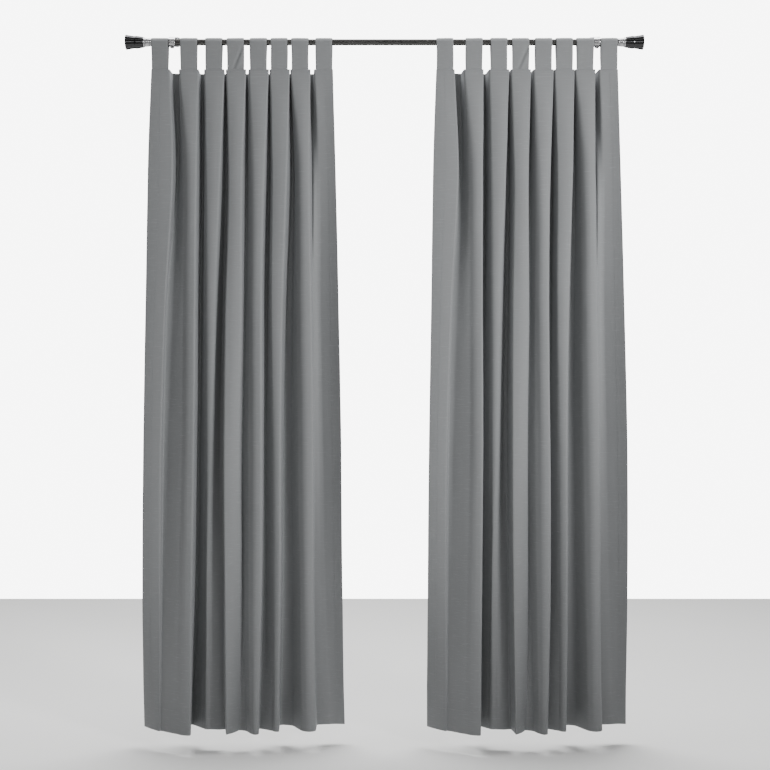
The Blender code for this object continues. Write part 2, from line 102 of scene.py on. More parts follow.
class ClothSettings(bpy.types.PropertyGroup):
    thickness: length_property("Thickness", "Thickness of the lined cloth", 0.0016)
    hem_depth: length_property("Hem depth", "Height of the bottom hem's stitch line above the hem", 0.070)
    side_hem: length_property("Side hem", "Width of the side hems", 0.026)
    header_depth: length_property("Header depth", "Depth of the facing sewn behind the top edge", 0.062)
    hem_bulk: length_property("Hem bulk", "Extra thickness where the cloth is turned over", 0.0011)
    stitch: length_property("Stitch", "Length of one stitch", 0.0034)
    stitch_pitch: length_property("Stitch pitch", "Distance from one stitch to the next", 0.0050)
    thread: length_property("Thread", "Radius of the sewing thread", 0.00032)
    sway: length_property("Sway", "How far the folds wander from a straight line", 0.0022)
    dents: length_property("Dents", "Depth of the soft dents in the cloth", 0.0014)
    row_step: length_property("Row step", "Height of a row of faces", 0.0165)
    colour: colour_property("Cloth colour", "Main colour of the cloth", (0.178, 0.184, 0.188))
    slub_colour: colour_property("Slub colour", "Colour of the thick weft yarns", (0.245, 0.252, 0.256))
    thread_colour: colour_property("Thread colour", "Colour of the sewing thread", (0.125, 0.130, 0.134))


class TabSettings(bpy.types.PropertyGroup):
    thickness: length_property("Strap thickness", "Thickness of the doubled strap over the rod", 0.0034)
    foot_thickness: length_property("Foot thickness", "Thickness of the strap where it is sewn in", 0.0013)
    tuck: length_property("Tuck", "How far the strap runs down inside the header", 0.0070)
    ease: length_property("Ease", "Gap between the strap and the rod", 0.0004)
    crease: length_property("Crease", "Depth of the diagonal crease in the fourth strap", 0.0022)
    wave: length_property("Wave", "How far the straps' edges wander", 0.0007)


class MetalSettings(bpy.types.PropertyGroup):
    sides: IntProperty(name="Sides", description="Faces round a turned piece", default=96, min=12, max=256)
    edge: length_property("Edge", "Rounding of turned edges", 0.0005)
    rod_colour: colour_property("Rod colour", "Gunmetal paint of the rod", (0.080, 0.079, 0.077))
    finial_colour: colour_property("Finial colour", "Gloss black of the finials", (0.055, 0.055, 0.057))
    nickel_colour: colour_property("Nickel colour", "Nickel of collars and brackets", (0.43, 0.43, 0.44))
    zinc_colour: colour_property("Zinc colour", "Zinc plate of the screws and plugs", (0.42, 0.43, 0.44))


class StageSettings(bpy.types.PropertyGroup):
    floor_drop: length_property("Floor drop", "Distance from the hem down to the floor", 0.060)
    floor_size: length_property("Floor size", "Length of the floor's sides", 5.0)
    floor_colour: colour_property("Floor colour", "Pale floor", (0.90, 0.90, 0.89))
    backdrop_colour: colour_property("Backdrop colour", "Pale surroundings", (0.95, 0.95, 0.95))
    ambient: FloatProperty(name="Ambient", description="Strength of the even light", default=0.20, min=0.0)
    seen: FloatProperty(name="Seen", description="Strength of the backdrop as the camera sees it",
                        default=8.0, min=0.0)
    key: power_property("Key light", "Power of the main light", 770.0)
    fill: power_property("Front light", "Power of the strip in front of the cloth", 24.0)
    top: power_property("Top light", "Power of the light above and behind the rod", 370.0)
    high: power_property("High light", "Power of the narrow light that shines on the rod", 9.0)
    lens: FloatProperty(name="Lens", description="Focal length in millimetres", default=56.0, min=10.0)
    camera_distance: length_property("Camera distance", "Distance from the wall to the camera", 3.79)


# ---------------------------------------------------------------- shader maths

class Wire:
    """One value in a material's tree. Sums and products of wires add the Math nodes."""

    def __init__(self, recipe, socket):
        self.recipe = recipe
        self.socket = socket

    def math(self, operation, first, second):
        return self.recipe.node("ShaderNodeMath", {"operation": operation}, {0: first, 1: second})

    def __add__(self, other):
        return self.math("ADD", self, other)

    def __radd__(self, other):
        return self.math("ADD", other, self)

    def __sub__(self, other):
        return self.math("SUBTRACT", self, other)

    def __rsub__(self, other):
        return self.math("SUBTRACT", other, self)

    def __mul__(self, other):
        return self.math("MULTIPLY", self, other)


class Recipe:
    """A procedural finish round one Principled shader."""

    def __init__(self, name):
        self.material = bpy.data.materials.new(name)
        self.material.use_nodes = True
        self.tree = self.material.node_tree
        self.shader = self.tree.nodes["Principled BSDF"]

    def plug(self, socket, value):
        if isinstance(value, Wire):
            self.tree.links.new(value.socket, socket)
        elif isinstance(value, (tuple, list)) and len(value) == 3 and len(socket.default_value) == 4:
            socket.default_value = (*value, 1.0)
        else:
            socket.default_value = value

    def node(self, kind, settings=None, sockets=None, output=0):
        """Add a node, set its settings, then fill its sockets, and return one of its outputs."""
        made = self.tree.nodes.new(kind)
        for name, value in (settings or {}).items():
            setattr(made, name, value)
        for name, value in (sockets or {}).items():
            self.plug(made.inputs[name], value)
        return Wire(self, made.outputs[output])

    def span(self, wire, low, high):
        """How far a value has come from low to high, from 0 to 1."""
        return self.node("ShaderNodeMapRange", {"interpolation_type": "SMOOTHSTEP"},
                         {"Value": wire, "From Min": low, "From Max": high})

    def blend(self, share, first, second):
        """A colour between two colours."""
        return self.node("ShaderNodeMix", {"data_type": "RGBA"}, {0: share, 6: first, 7: second}, output=2)

    def place(self):
        """The place in the object's own space."""
        return self.node("ShaderNodeTexCoord", output=3)

    def stretched(self, place, scale):
        """A place in the material's own space, stretched along each axis."""
        return self.node("ShaderNodeVectorMath", {"operation": "MULTIPLY"}, {0: place, 1: scale})

    def noise(self, place, scale, detail=2.0, roughness=0.5):
        return self.node("ShaderNodeTexNoise", {}, {
            "Vector": place, "Scale": scale, "Detail": detail, "Roughness": roughness})

    def bump(self, height, distance, strength):
        return self.node("ShaderNodeBump", {}, {"Height": height, "Distance": distance, "Strength": strength})

    def finish(self, **sockets):
        """Fill the shader's own sockets; words in a socket's name are joined by underscores here."""
        for name, value in sockets.items():
            self.plug(self.shader.inputs[name.replace("_", " ")], value)
        return self.material


def scaled(colour, factor):
    """A colour made lighter or darker."""
    return tuple(min(1.0, part * factor) for part in colour)


def cloth_finish(name, colour, slub_colour):
    """Plain-woven cloth with thick weft yarns, lying in its own flat width and length."""
    made = Recipe(name)
    flat = made.node("ShaderNodeAttribute", {"attribute_name": "cloth_flat"}, output=1)
    warp = made.node("ShaderNodeTexWave", {"wave_type": "BANDS", "bands_direction": "X"},
                     {"Vector": flat, "Scale": 330.0, "Distortion": 0.6, "Detail Scale": 3.0})
    weft = made.node("ShaderNodeTexWave", {"wave_type": "BANDS", "bands_direction": "Y"},
                     {"Vector": flat, "Scale": 290.0, "Distortion": 0.9, "Detail Scale": 3.0})
    weave = warp * weft
    yarns = made.noise(made.stretched(flat, (30.0, 330.0, 1.0)), 1.0, 3.0, 0.55)
    slubs = made.span(yarns, 0.57, 0.70)
    short = made.noise(made.stretched(flat, (85.0, 420.0, 1.0)), 1.0, 2.0)
    flecks = made.span(short, 0.62, 0.76)
    streaks = made.noise(made.stretched(flat, (520.0, 7.0, 1.0)), 1.0, 2.0)
    clouds = made.noise(flat, 5.5, 3.0)
    thick = slubs * 0.55 + flecks * 0.45
    shade = (clouds - 0.5) * 0.30 + (streaks - 0.5) * 0.16 + (yarns - 0.5) * 0.22 + 0.30
    base = made.blend(shade, scaled(colour, 0.90), scaled(colour, 1.24))
    base = made.blend(thick * 0.65, base, slub_colour)
    # Painted shade: the colour darkens by up to a tenth between the yarns, where the weave's bump is low.
    base = made.blend((1.0 - weave) * 0.10, base, scaled(colour, 0.55))
    height = weave * 0.30 + thick * 0.9 + (yarns - 0.5) * 0.4
    return made.finish(
        Base_Color=base,
        Roughness=0.66 - thick * 0.10 + (clouds - 0.5) * 0.10,
        Specular_IOR_Level=0.35,
        Sheen_Weight=0.22,
        Sheen_Roughness=0.42,
        Sheen_Tint=(0.92, 0.95, 1.0),
        Normal=made.bump(height, 0.00035, 0.55),
    )


def thread_finish(colour):
    """Twisted sewing thread."""
    made = Recipe("sewing thread")
    place = made.place()
    twist = made.node("ShaderNodeTexWave", {"bands_direction": "DIAGONAL"},
                      {"Vector": place, "Scale": 900.0, "Distortion": 0.4})
    # Painted shade and highlight: the colour is darker in the twist's grooves and lighter on its ridges,
    # following the same bands as the bump.
    base = made.blend(twist, scaled(colour, 0.7), scaled(colour, 1.3))
    return made.finish(Base_Color=base, Roughness=0.55, Sheen_Weight=0.2,
                       Normal=made.bump(twist, 0.0001, 0.5))


def brushed_finish(name, colour, roughness, grain):
    """Satin metal with fine lines round the turned pieces, which lie along X."""
    made = Recipe(name)
    place = made.place()
    lines = made.noise(made.stretched(place, (2600.0, 90.0, 90.0)), 1.0, 3.0, 0.6)
    smears = made.noise(place, 60.0, 3.0)
    base = made.blend(smears, scaled(colour, 0.88), scaled(colour, 1.10))
    return made.finish(
        Base_Color=base, Metallic=1.0,
        Roughness=roughness + (lines - 0.5) * 0.22 + (smears - 0.5) * 0.10,
        Normal=made.bump(lines, 0.00004, grain),
    )


def painted_finish(name, colour):
    """Dark metallic paint with a fine flake, a little worn where hands and cloth rub it."""
    made = Recipe(name)
    place = made.place()
    flake = made.node("ShaderNodeTexVoronoi", {}, {"Vector": place, "Scale": 2400.0})
    rubbed = made.noise(made.stretched(place, (6.0, 60.0, 60.0)), 1.0, 4.0, 0.6)
    scuffs = made.span(rubbed, 0.58, 0.74)
    base = made.blend(flake * 0.5, scaled(colour, 0.8), scaled(colour, 1.5))
    base = made.blend(scuffs * 0.35, base, scaled(colour, 1.8))
    return made.finish(
        Base_Color=base, Metallic=1.0, Specular_Tint=(0.20, 0.20, 0.20),
        Roughness=0.17 + scuffs * 0.12 + (rubbed - 0.5) * 0.06,
        Normal=made.bump(flake, 0.00003, 0.25),
    )


def gloss_finish(name, colour):
    """Polished black nickel, with faint dust and handling marks."""
    made = Recipe(name)
    place = made.place()
    marks = made.noise(place, 45.0, 4.0, 0.6)
    dust = made.span(made.noise(place, 900.0, 1.0), 0.66, 0.80)
    base = made.blend(dust * 0.12, colour, (0.10, 0.10, 0.10))
    ripple = made.noise(made.stretched(place, (500.0, 40.0, 40.0)), 1.0, 1.0)
    return made.finish(
        Base_Color=base, Metallic=1.0, Specular_Tint=(0.25, 0.25, 0.25),
        Roughness=0.15 + (marks - 0.5) * 0.06 + dust * 0.20,
        Normal=made.bump(ripple, 0.00002, 0.15),
    )


def zinc_finish(name, colour):
    """Bright zinc plate with its faint spangle."""
    made = Recipe(name)
    place = made.place()
    spangle = made.node("ShaderNodeTexVoronoi", {"feature": "F1"}, {"Vector": place, "Scale": 700.0})
    tone = made.noise(place, 220.0, 2.0)
    base = made.blend(tone, scaled(colour, 0.82), scaled(colour, 1.15))
    return made.finish(
        Base_Color=base, Metallic=1.0, Roughness=0.34 + (tone - 0.5) * 0.2,
        Normal=made.bump(spangle, 0.00003, 0.3),
    )


def floor_finish(colour):
    """Matt pale floor with the faintest mottling."""
    made = Recipe("pale floor")
    place = made.place()
    tone = made.noise(place, 1.4, 3.0)
    base = made.blend(tone, scaled(colour, 0.98), scaled(colour, 1.02))
    return made.finish(Base_Color=base, Roughness=0.75 + (tone - 0.5) * 0.1)


FINISHES = {}


def shared_finish(name):
    """The finish of that name, made once from the scene's settings."""
    if name not in FINISHES:
        cloth = bpy.context.scene.curtain_cloth
        metal = bpy.context.scene.curtain_metal
        makers = {
            "cloth": lambda: cloth_finish("grey slub cloth", tuple(cloth.colour), tuple(cloth.slub_colour)),
            "thread": lambda: thread_finish(tuple(cloth.thread_colour)),
            "gunmetal": lambda: painted_finish("gunmetal paint", tuple(metal.rod_colour)),
            "black": lambda: gloss_finish("gloss black", tuple(metal.finial_colour)),
            "nickel": lambda: brushed_finish("satin nickel", tuple(metal.nickel_colour), 0.20, 0.35),
            "zinc": lambda: zinc_finish("zinc plate", tuple(metal.zinc_colour)),
        }
        FINISHES[name] = makers[name]()
    return FINISHES[name]


# ---------------------------------------------------------------- mesh helpers

def place_mesh(name, points, faces, finish, sharp=35.0):
    """A shown object from points and faces, its faces turned outwards."""
    mesh = bpy.data.meshes.new(name)
    mesh.from_pydata([tuple(point) for point in points], [], faces)
    work = bmesh.new()
    work.from_mesh(mesh)
    bmesh.ops.recalc_face_normals(work, faces=work.faces)
    work.to_mesh(mesh)
    work.free()
    mesh.shade_smooth()
    mesh.set_sharp_from_angle(angle=math.radians(sharp))
    mesh.materials.append(finish)
    piece = bpy.data.objects.new(name, mesh)
    bpy.context.scene.collection.objects.link(piece)
    return piece


def eased(profile, radius, steps=4, closed=False):
    """A profile with its corners rounded, except its two ends if it is open."""
    points = [Vector(point) for point in profile]
    count = len(points)
    result = []
    for index, corner in enumerate(points):
        if not closed and index in (0, count - 1):
            result.append(corner)
            continue
        before = points[index - 1]
        after = points[(index + 1) % count]
        reach = min(radius, (corner - before).length * 0.45, (corner - after).length * 0.45)
        start = corner + (before - corner).normalized() * reach
        end = corner + (after - corner).normalized() * reach
        for step in range(steps + 1):
            share = step / steps
            result.append(start.lerp(corner, share).lerp(corner.lerp(end, share), share))
    return result


def ring_faces(count, sides, closed):
    """Faces between rings of points, and from the last ring back to the first if they close."""
    faces = []
    for ring in range(count if closed else count - 1):
        low, high = ring * sides, (ring + 1) % count * sides
        for side in range(sides):
            following = (side + 1) % sides
            faces.append((low + side, low + following, high + following, high + side))
    return faces


def turned(name, profile, centre, axis, finish, sides, radius_at=None):
    """Turn (along, radius) points round an axis.

    Ends on the axis make a solid. Otherwise the profile closes on itself.

    radius_at(angle, along, radius) may change the radius round the axis.
    """
    heading = Vector(axis).normalized()
    across = Vector((0, 0, 1)) if abs(heading.z) < 0.9 else Vector((0, 1, 0))
    side_way = heading.cross(across).normalized()
    up_way = side_way.cross(heading).normalized()
    solid = profile[0][1] < 1e-7 and profile[-1][1] < 1e-7
    rings = profile[1:-1] if solid else profile
    points = []
    for along, radius in rings:
        for side in range(sides):
            angle = 2 * math.pi * side / sides
            reach = radius_at(angle, along, radius) if radius_at else radius
            spoke = side_way * math.cos(angle) + up_way * math.sin(angle)
            points.append(Vector(centre) + heading * along + spoke * reach)
    faces = ring_faces(len(rings), sides, closed=not solid)
    if solid:
        for ring, (along, _) in ((0, profile[0]), (len(rings) - 1, profile[-1])):
            hub = len(points)
            points.append(Vector(centre) + heading * along)
            for side in range(sides):
                faces.append((hub, ring * sides + side, ring * sides + (side + 1) % sides))
    return place_mesh(name, points, faces, finish)


def middle_of(node):
    low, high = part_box(node)
    return (low + high) / 2


def stand_in(piece, node, body):
    """Put a piece in a CAD node's place, on the body that carries it."""
    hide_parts(node)
    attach(piece, body)


def dress(node, finish):
    """Give a CAD node a finish in place of its plain one."""
    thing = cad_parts[node]
    thing.data.materials.clear()
    thing.data.materials.append(finish)


# ---------------------------------------------------------------- rod, finials and brackets

TUBE_WALL = 0.0012
# Gap between the rod and the collars and rings round it.
ROD_EASE = 0.0003


def rod_axis():
    """A point on the rod's axis, and the rod's radius."""
    low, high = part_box("rod_tube")
    return (low + high) / 2, (high.z - low.z) / 2


def build_rod(metal):
    centre, radius = rod_axis()
    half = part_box("rod_tube")[1].x
    bore = radius - TUBE_WALL
    profile = [(-half, radius), (half, radius), (half, bore), (-half, bore)]
    rod = turned("curtain_rod", eased(profile, metal.edge, closed=True), centre, (1, 0, 0),
                 shared_finish("gunmetal"), metal.sides)
    stand_in(rod, "rod_tube", "rail")
    for side in SIDES:
        dress("rod_plug_" + side, shared_finish("zinc"))


# The finial's outline from the middle of its dished tip: (distance from the tip, radius).
TRUMPET = (
    (0.0038, 0.0), (0.0038, 0.0080), (0.0030, 0.0140), (0.0012, 0.0200), (0.0002, 0.0216), (0.0010, 0.0229),
    (0.0035, 0.0224), (0.0090, 0.0214), (0.0140, 0.0206), (0.0180, 0.0201),
    (0.0215, 0.0193), (0.0245, 0.0188), (0.0270, 0.0186), (0.0292, 0.0186), (0.0304, 0.0190),
    (0.0322, 0.0193), (0.0345, 0.0193), (0.0362, 0.0190), (0.0376, 0.0186), (0.0410, 0.0183),
    (0.0460, 0.0175), (0.0505, 0.0167), (0.0548, 0.0159),
)
NECK_RADIUS = 0.0150


def build_finials(metal):
    centre, rod_radius = rod_axis()
    for side, sign in (("left", -1), ("right", 1)):
        low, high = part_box("finial_" + side)
        tip, neck = (low.x, high.x) if sign < 0 else (high.x, low.x)
        tip_centre = Vector((tip, centre.y, centre.z))
        inward = (-sign, 0, 0)
        end = abs(neck - tip)
        outline = [*TRUMPET, (end, NECK_RADIUS), (end, 0.0)]
        trumpet = turned("finial_trumpet_" + side, eased(outline, 0.0009, 3), tip_centre, inward,
                         shared_finish("black"), metal.sides)
        stand_in(trumpet, "finial_" + side, "finial_" + side)

        low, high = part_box("finial_collar_" + side)
        inner, outer = (high.x, low.x) if sign < 0 else (low.x, high.x)
        length = abs(outer - inner)
        foot = rod_radius + ROD_EASE
        wide = (high.z - low.z) / 2
        # A turned collar: a foot ring over the tube's end, a groove, a cone and a bead at the trumpet.
        profile = [
            (0.0, foot), (0.0, foot + 0.0022), (0.0030, foot + 0.0026), (0.0036, foot + 0.0019),
            (0.0048, foot + 0.0019), (0.0054, foot + 0.0028), (length * 0.70, wide - 0.0012),
            (length * 0.74, wide - 0.0018), (length * 0.80, wide - 0.0018), (length * 0.84, wide),
            (length, wide), (length, 0.0036), (0.0086, 0.0036), (0.0086, foot),
        ]
        collar = turned("finial_collar_ring_" + side, eased(profile, metal.edge, 3, closed=True),
                        Vector((inner, centre.y, centre.z)), (sign, 0, 0), shared_finish("nickel"),
                        metal.sides)
        stand_in(collar, "finial_collar_" + side, "finial_" + side)
        dress("finial_stud_" + side, shared_finish("zinc"))


LOBE_RADIUS = 0.0095


def hull_radius(angle, barrel, lobe, lobe_radius):
    """Distance from the rod's axis to the outside of a barrel joined to a smaller lobe."""
    span = lobe.length
    heading = math.atan2(lobe.y, lobe.x)
    # The straight flank between the two circles touches the barrel at this angle from the heading.
    reach = math.acos((barrel - lobe_radius) / span)

    def turn_from(value):
        return (value - heading + math.pi) % (2 * math.pi) - math.pi

    turn = turn_from(angle)
    if abs(turn) >= reach:
        return barrel
    flank = barrel / math.cos(reach - abs(turn))
    inside = lobe_radius ** 2 - (span * math.sin(turn)) ** 2
    if inside <= 0:
        return flank
    cap = span * math.cos(turn) + math.sqrt(inside)
    flank_end = lobe + lobe_radius * Vector((math.cos(heading + reach), math.sin(heading + reach)))
    flank_turn = abs(turn_from(math.atan2(flank_end.y, flank_end.x)))
    return flank if abs(turn) > flank_turn else cap


def build_ring(side, centre_x, axis, rod_radius, metal):
    """The bracket's ring: a barrel round the rod with a lobe above and behind it."""
    low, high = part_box("bracket_ring_" + side)
    half = (high.x - low.x) / 2
    bore = rod_radius + ROD_EASE
    barrel = -low.z
    lobe = Vector((high.y - axis.y - LOBE_RADIUS, high.z - axis.z - LOBE_RADIUS))
    edge, lip = 0.0014, 0.0004
    # Stands for the ring's outside at any angle; radius_at puts the real radius in its place.
    outside = 10.0
    rounding = [math.pi / 2 * step / 4 for step in range(5)]
    corner = [(edge * (1 - math.cos(turn)), outside - edge * (1 - math.sin(turn))) for turn in rounding]
    loops = [(-half + lip, bore), (-half, bore + lip)]
    loops += [(-half + inset, radius) for inset, radius in corner]
    loops += [(half - inset, radius) for inset, radius in reversed(corner)]
    loops += [(half, bore + lip), (half - lip, bore)]

    def radius_at(angle, along, radius):
        if radius < outside / 2:
            return radius
        return hull_radius(angle, barrel, lobe, LOBE_RADIUS) - (outside - radius)

    ring = turned_yz("rod_bracket_ring_" + side, loops, Vector((centre_x, axis.y, axis.z)),
                     shared_finish("nickel"), metal.sides * 2, radius_at)
    stand_in(ring, "bracket_ring_" + side, "rail")


def turned_yz(name, loops, centre, finish, sides, radius_at):
    """Turn (along X, radius) loops with the angle measured from +Y towards +Z."""
    points = []
    for along, radius in loops:
        for side in range(sides):
            angle = 2 * math.pi * side / sides
            reach = radius_at(angle, along, radius)
            points.append(centre + Vector((along, math.cos(angle) * reach, math.sin(angle) * reach)))
    return place_mesh(name, points, ring_faces(len(loops), sides, closed=True), finish)


def build_brackets(metal):
    axis, rod_radius = rod_axis()
    nickel = shared_finish("nickel")
    for side in SIDES:
        centre_x = middle_of("bracket_ring_" + side).x
        build_ring(side, centre_x, axis, rod_radius, metal)

        low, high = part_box("bracket_arm_" + side)
        arm_radius = (high.x - low.x) / 2
        flange = middle_of("bracket_flange_" + side)
        ring_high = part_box("bracket_ring_" + side)[1]
        lobe = ring_high - Vector((0.0, LOBE_RADIUS, LOBE_RADIUS))
        heading = Vector((0.0, lobe.y, lobe.z - flange.z)).normalized()
        start = Vector((centre_x, 0.0, flange.z)) + heading * abs(high.y / heading.y)
        length = (high.y - low.y) / abs(heading.y) - arm_radius * 0.5
        profile = [(0.0, 0.0), (0.0, arm_radius), (length, arm_radius), (length, 0.0)]
        arm = turned("bracket_stem_" + side, eased(profile, 0.0006), start, heading, nickel, metal.sides // 2)
        stand_in(arm, "bracket_arm_" + side, "rail")

        low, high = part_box("bracket_flange_" + side)
        reach = (high.x - low.x) / 2
        depth = high.y - low.y
        hub = arm_radius + 0.0021
        profile = [
            (0.0, 0.0), (0.0, reach), (0.0017, reach), (0.0030, reach - 0.0012), (0.0030, hub + 0.0016),
            (0.0044, hub + 0.0002), (depth - 0.0006, hub), (depth, hub - 0.0006), (depth, 0.0),
        ]
        plate = turned("wall_flange_" + side, eased(profile, metal.edge), Vector((centre_x, 0.0, flange.z)),
                       (0, -1, 0), nickel, metal.sides)
        stand_in(plate, "bracket_flange_" + side, "rail")

        for level in ("upper", "lower"):
            build_wall_screw("wall_screw_" + side + "_" + level, metal)
        build_ring_screw(side, centre_x, axis, metal)


def build_wall_screw(node, metal):
    """A pan-head screw with a cross recess."""
    low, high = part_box(node)
    centre = Vector(((low.x + high.x) / 2, high.y, (low.z + high.z) / 2))
    head = (high.x - low.x) / 2
    depth = high.y - low.y
    shank, head_height, lip, dome = 0.0018, 0.0022, 0.0004, 0.0018
    seat = depth - head_height
    profile = [(0.0, 0.0), (0.0, shank), (seat, shank), (seat, head - lip / 2), (seat + lip, head)]
    steps = 10
    for step in range(1, steps + 1):
        turn = step / steps * math.pi / 2
        profile.append((seat + lip + dome * math.sin(turn) ** 0.8, head * math.cos(turn) ** 0.75 + 1e-5))
    profile.append((depth, 0.0))
    screw = turned(node.replace("wall_screw", "wall_screw_head"), profile, centre, (0, -1, 0),
                   shared_finish("zinc"), metal.sides // 2)
    arm_half, arm_reach, recess = 0.00042, 0.0019, 0.0009
    for vertex in screw.data.vertices:
        x, z = vertex.co.x - centre.x, vertex.co.z - centre.z
        front = centre.y - vertex.co.y > seat + 0.0006
        if front and min(abs(x), abs(z)) < arm_half and max(abs(x), abs(z)) < arm_reach:
            vertex.co.y += recess
    stand_in(screw, node, "rail")


def build_ring_screw(side, centre_x, axis, metal):
    """A knurled thumb screw under the ring."""
    low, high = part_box("ring_screw_" + side)
    head = (high.x - low.x) / 2
    tip, end = axis.z - high.z, axis.z - low.z
    shank, head_height, teeth, tooth = 0.0020, 0.0036, 32, 0.00028
    seat = end - head_height
    profile = [
        (tip, 0.0), (tip, 0.0014), (tip + 0.0006, shank), (seat, shank), (seat, head - 0.0008),
        (seat + 0.0006, head), (end - 0.0009, head), (end, head - 0.0012), (end, 0.0),
    ]

    def knurl(angle, along, radius):
        if radius < head - 0.0004:
            return radius
        return radius - tooth * (0.5 + 0.5 * math.cos(angle * teeth))

    screw = turned("ring_thumb_screw_" + side, eased(profile, 0.0003, 3), Vector((centre_x, axis.y, axis.z)),
                   (0, 0, -1), shared_finish("nickel"), 128, knurl)
    stand_in(screw, "ring_screw_" + side, "ring_screw_" + side)


# ---------------------------------------------------------------- cloth

# Plans of the folds from left to right, in millimetres. A front is (left corner's distance
# from the tab's centre, its depth behind the rod's axis, right corner's distance, its depth).
# A valley is the same for its two corners, from the middle of the gap between two tabs.
FOLD_SHARES = (0.0, 0.137, 0.350, 0.562, 0.805, 1.0)
FRONTS = (
    ((-27.0, -2, 29.0, -2), (-30.5, -2, 29.5, -2)) + ((-29.5, -2, 32.0, -2),) * 5 + ((-30.5, -2, 27.5, -2),),
    (
        (-37.5, -2, 40.0, -5), (-16.0, -4, 26.1, -12), (-27.5, 0, 23.2, -5), (-21.5, -7, 24.5, -10),
        (-23.0, -6, 23.0, -11), (-21.5, -2, 27.4, -7), (-10.9, -2, 30.8, -7), (-17.0, 14, 35.3, 0),
    ),
    (
        (-45.0, 0, 22.0, -7), (-14.0, -16, 26.5, -30), (-25.5, 2, 9.0, -4), (-26.5, -20, 25.0, -18),
        (-21.0, -14, 15.0, -24), (-21.5, -6, 13.4, -12), (-5.0, -2, 36.0, -9), (-15.0, 24, 43.0, -8),
    ),
    (
        (-50.2, 1, 10.0, -8), (-12.0, -26, 26.5, -42), (-24.5, 6, 0.0, -1), (-28.0, -34, 18.5, -24),
        (-18.0, -24, 14.5, -34), (-18.0, -8, 5.8, -17), (0.0, -2, 41.6, -12), (-11.0, 28, 51.0, -8),
    ),
    (
        (-52.0, 3, 3.9, -12), (-20.0, -38, 20.0, -56), (-24.5, 8, -14.0, 1), (-25.5, -48, 18.5, -20),
        (-19.0, -38, 13.0, -46), (-19.5, -12, 5.0, -22), (5.0, -12, 45.0, -15), (-4.0, 34, 57.0, 10),
    ),
    (
        (-53.1, 34, 0.9, -18), (-28.1, -50, 15.9, -68), (-33.1, 12, -12.1, 2), (-21.3, -57, 12.1, -9),
        (-16.5, -50, 6.5, -55), (-20.0, -14, 2.0, -26), (11.0, -24, 50.4, -18), (12.0, 57, 63.0, 58),
    ),
)
VALLEYS = (
    (
        (-15.0, 48, 8.0, 50), (-12.0, 54, 2.0, 54), (-8.0, 54, -1.5, 54), (-12.5, 54, -2.0, 54),
        (-8.0, 54, -1.5, 54), (-6.5, 54, -1.0, 54), (-12.0, 54, 3.0, 54),
    ),
    (
        (1.0, 48, 12.0, 46), (-5.0, 55, 3.0, 54), (-5.0, 52, 2.0, 52), (-7.0, 42, -1.0, 38),
        (-6.0, 48, 0.0, 46), (0.0, 54, 8.0, 54), (-3.0, 30, 3.0, 20),
    ),
    (
        (-26.0, 20, -10.0, 16), (-12.0, 54, -4.0, 52), (-13.0, 46, -2.0, 46), (-12.0, 24, -4.0, 16),
        (-16.0, 42, -4.0, 38), (-16.0, 54, 6.0, 54), (-2.0, 18, 5.0, 20),
    ),
    (
        (-37.0, 10, -24.0, 8), (-20.0, 54, -10.0, 50), (-21.0, 34, -5.0, 38), (-19.0, 10, -8.0, 2),
        (-19.0, 34, -8.0, 30), (-24.0, 55, 2.0, 52), (0.0, 18, 8.0, 22),
    ),
    (
        (-40.0, 0, -27.0, -4), (-30.0, 55, -16.0, 50), (-18.0, 14, 0.0, 20), (-18.0, 0, -4.0, -6),
        (-22.0, 22, -9.0, 18), (-28.0, 54, 5.0, 48), (4.0, 28, 13.0, 32),
    ),
    (
        (-40.0, -12, -30.0, -17), (-41.6, 57, -25.0, 46), (-14.0, -3, 4.0, 4), (-15.0, -8, 0.5, -15),
        (-31.0, 10, -16.0, 4), (-34.0, 53, 6.0, 44), (12.0, 52, 24.0, 55),
    ),
)
# The whole panel hangs this much further forward, which brings its weight under the rod.
HANG_FORWARD = (0.0, 5.0, 9.0, 11.0, 10.0, 8.0)
# How far the bends reach from their corners at each level: left bends, right bends, valleys.
BENDS = (
    (5.0, 4.0, 5.0), (20.0, 5.5, 9.0), (25.0, 6.0, 10.0), (26.0, 7.0, 12.0), (26.0, 8.0, 13.0), (26.0, 9.0, 15.0),
)
# Share of that reach which each pleat's left bend has below the header, and how far its front
# swells towards the room there.
LEFT_BENDS = (1.0, 1.0, 0.40, 0.20, 0.7, 0.22, 1.0, 0.4)
SWELLS = (2.0, 4.0, 4.0, 4.0, 4.0, 3.0, 4.5, -3.0)
BEND_COLUMNS = 3
FLAT_COLUMNS = 4
# How far the stitch lines lie inside the edges of the hems.
STITCH_INSET = 0.001
# Points in one stitch: its two ends and two rings of five.
STITCH_POINTS = 12


def smooth_levels(shares, values, at):
    """Values at any share down the drop, by cubic curves through the levels."""
    shares = np.array(shares, float)
    values = np.array(values, float)
    slopes = np.gradient(values, shares, axis=0)
    index = np.clip(np.searchsorted(shares, at, side="right") - 1, 0, len(shares) - 2)
    step = shares[index + 1] - shares[index]
    t = ((at - shares[index]) / step)
    shape = (-1,) + (1,) * (values.ndim - 1)
    t, step = t.reshape(shape), step.reshape(shape)
    return ((2 * t ** 3 - 3 * t ** 2 + 1) * values[index] + (t ** 3 - 2 * t ** 2 + t) * step * slopes[index]
            + (-2 * t ** 3 + 3 * t ** 2) * values[index + 1] + (t ** 3 - t ** 2) * step * slopes[index + 1])


def corner_pair(middle, fold):
    """The two corners of a front or a valley, as (x, depth) in metres."""
    left, left_depth, right, right_depth = fold
    return [(middle + left / 1000, left_depth / 1000), (middle + right / 1000, right_depth / 1000)]


def fold_corners(centres, level):
    """All the corners of the plan at one level."""
    corners = []
    for pleat, centre in enumerate(centres):
        corners += corner_pair(centre, FRONTS[level][pleat])
        if pleat < len(centres) - 1:
            corners += corner_pair((centre + centres[pleat + 1]) / 2, VALLEYS[level][pleat])
    return corners


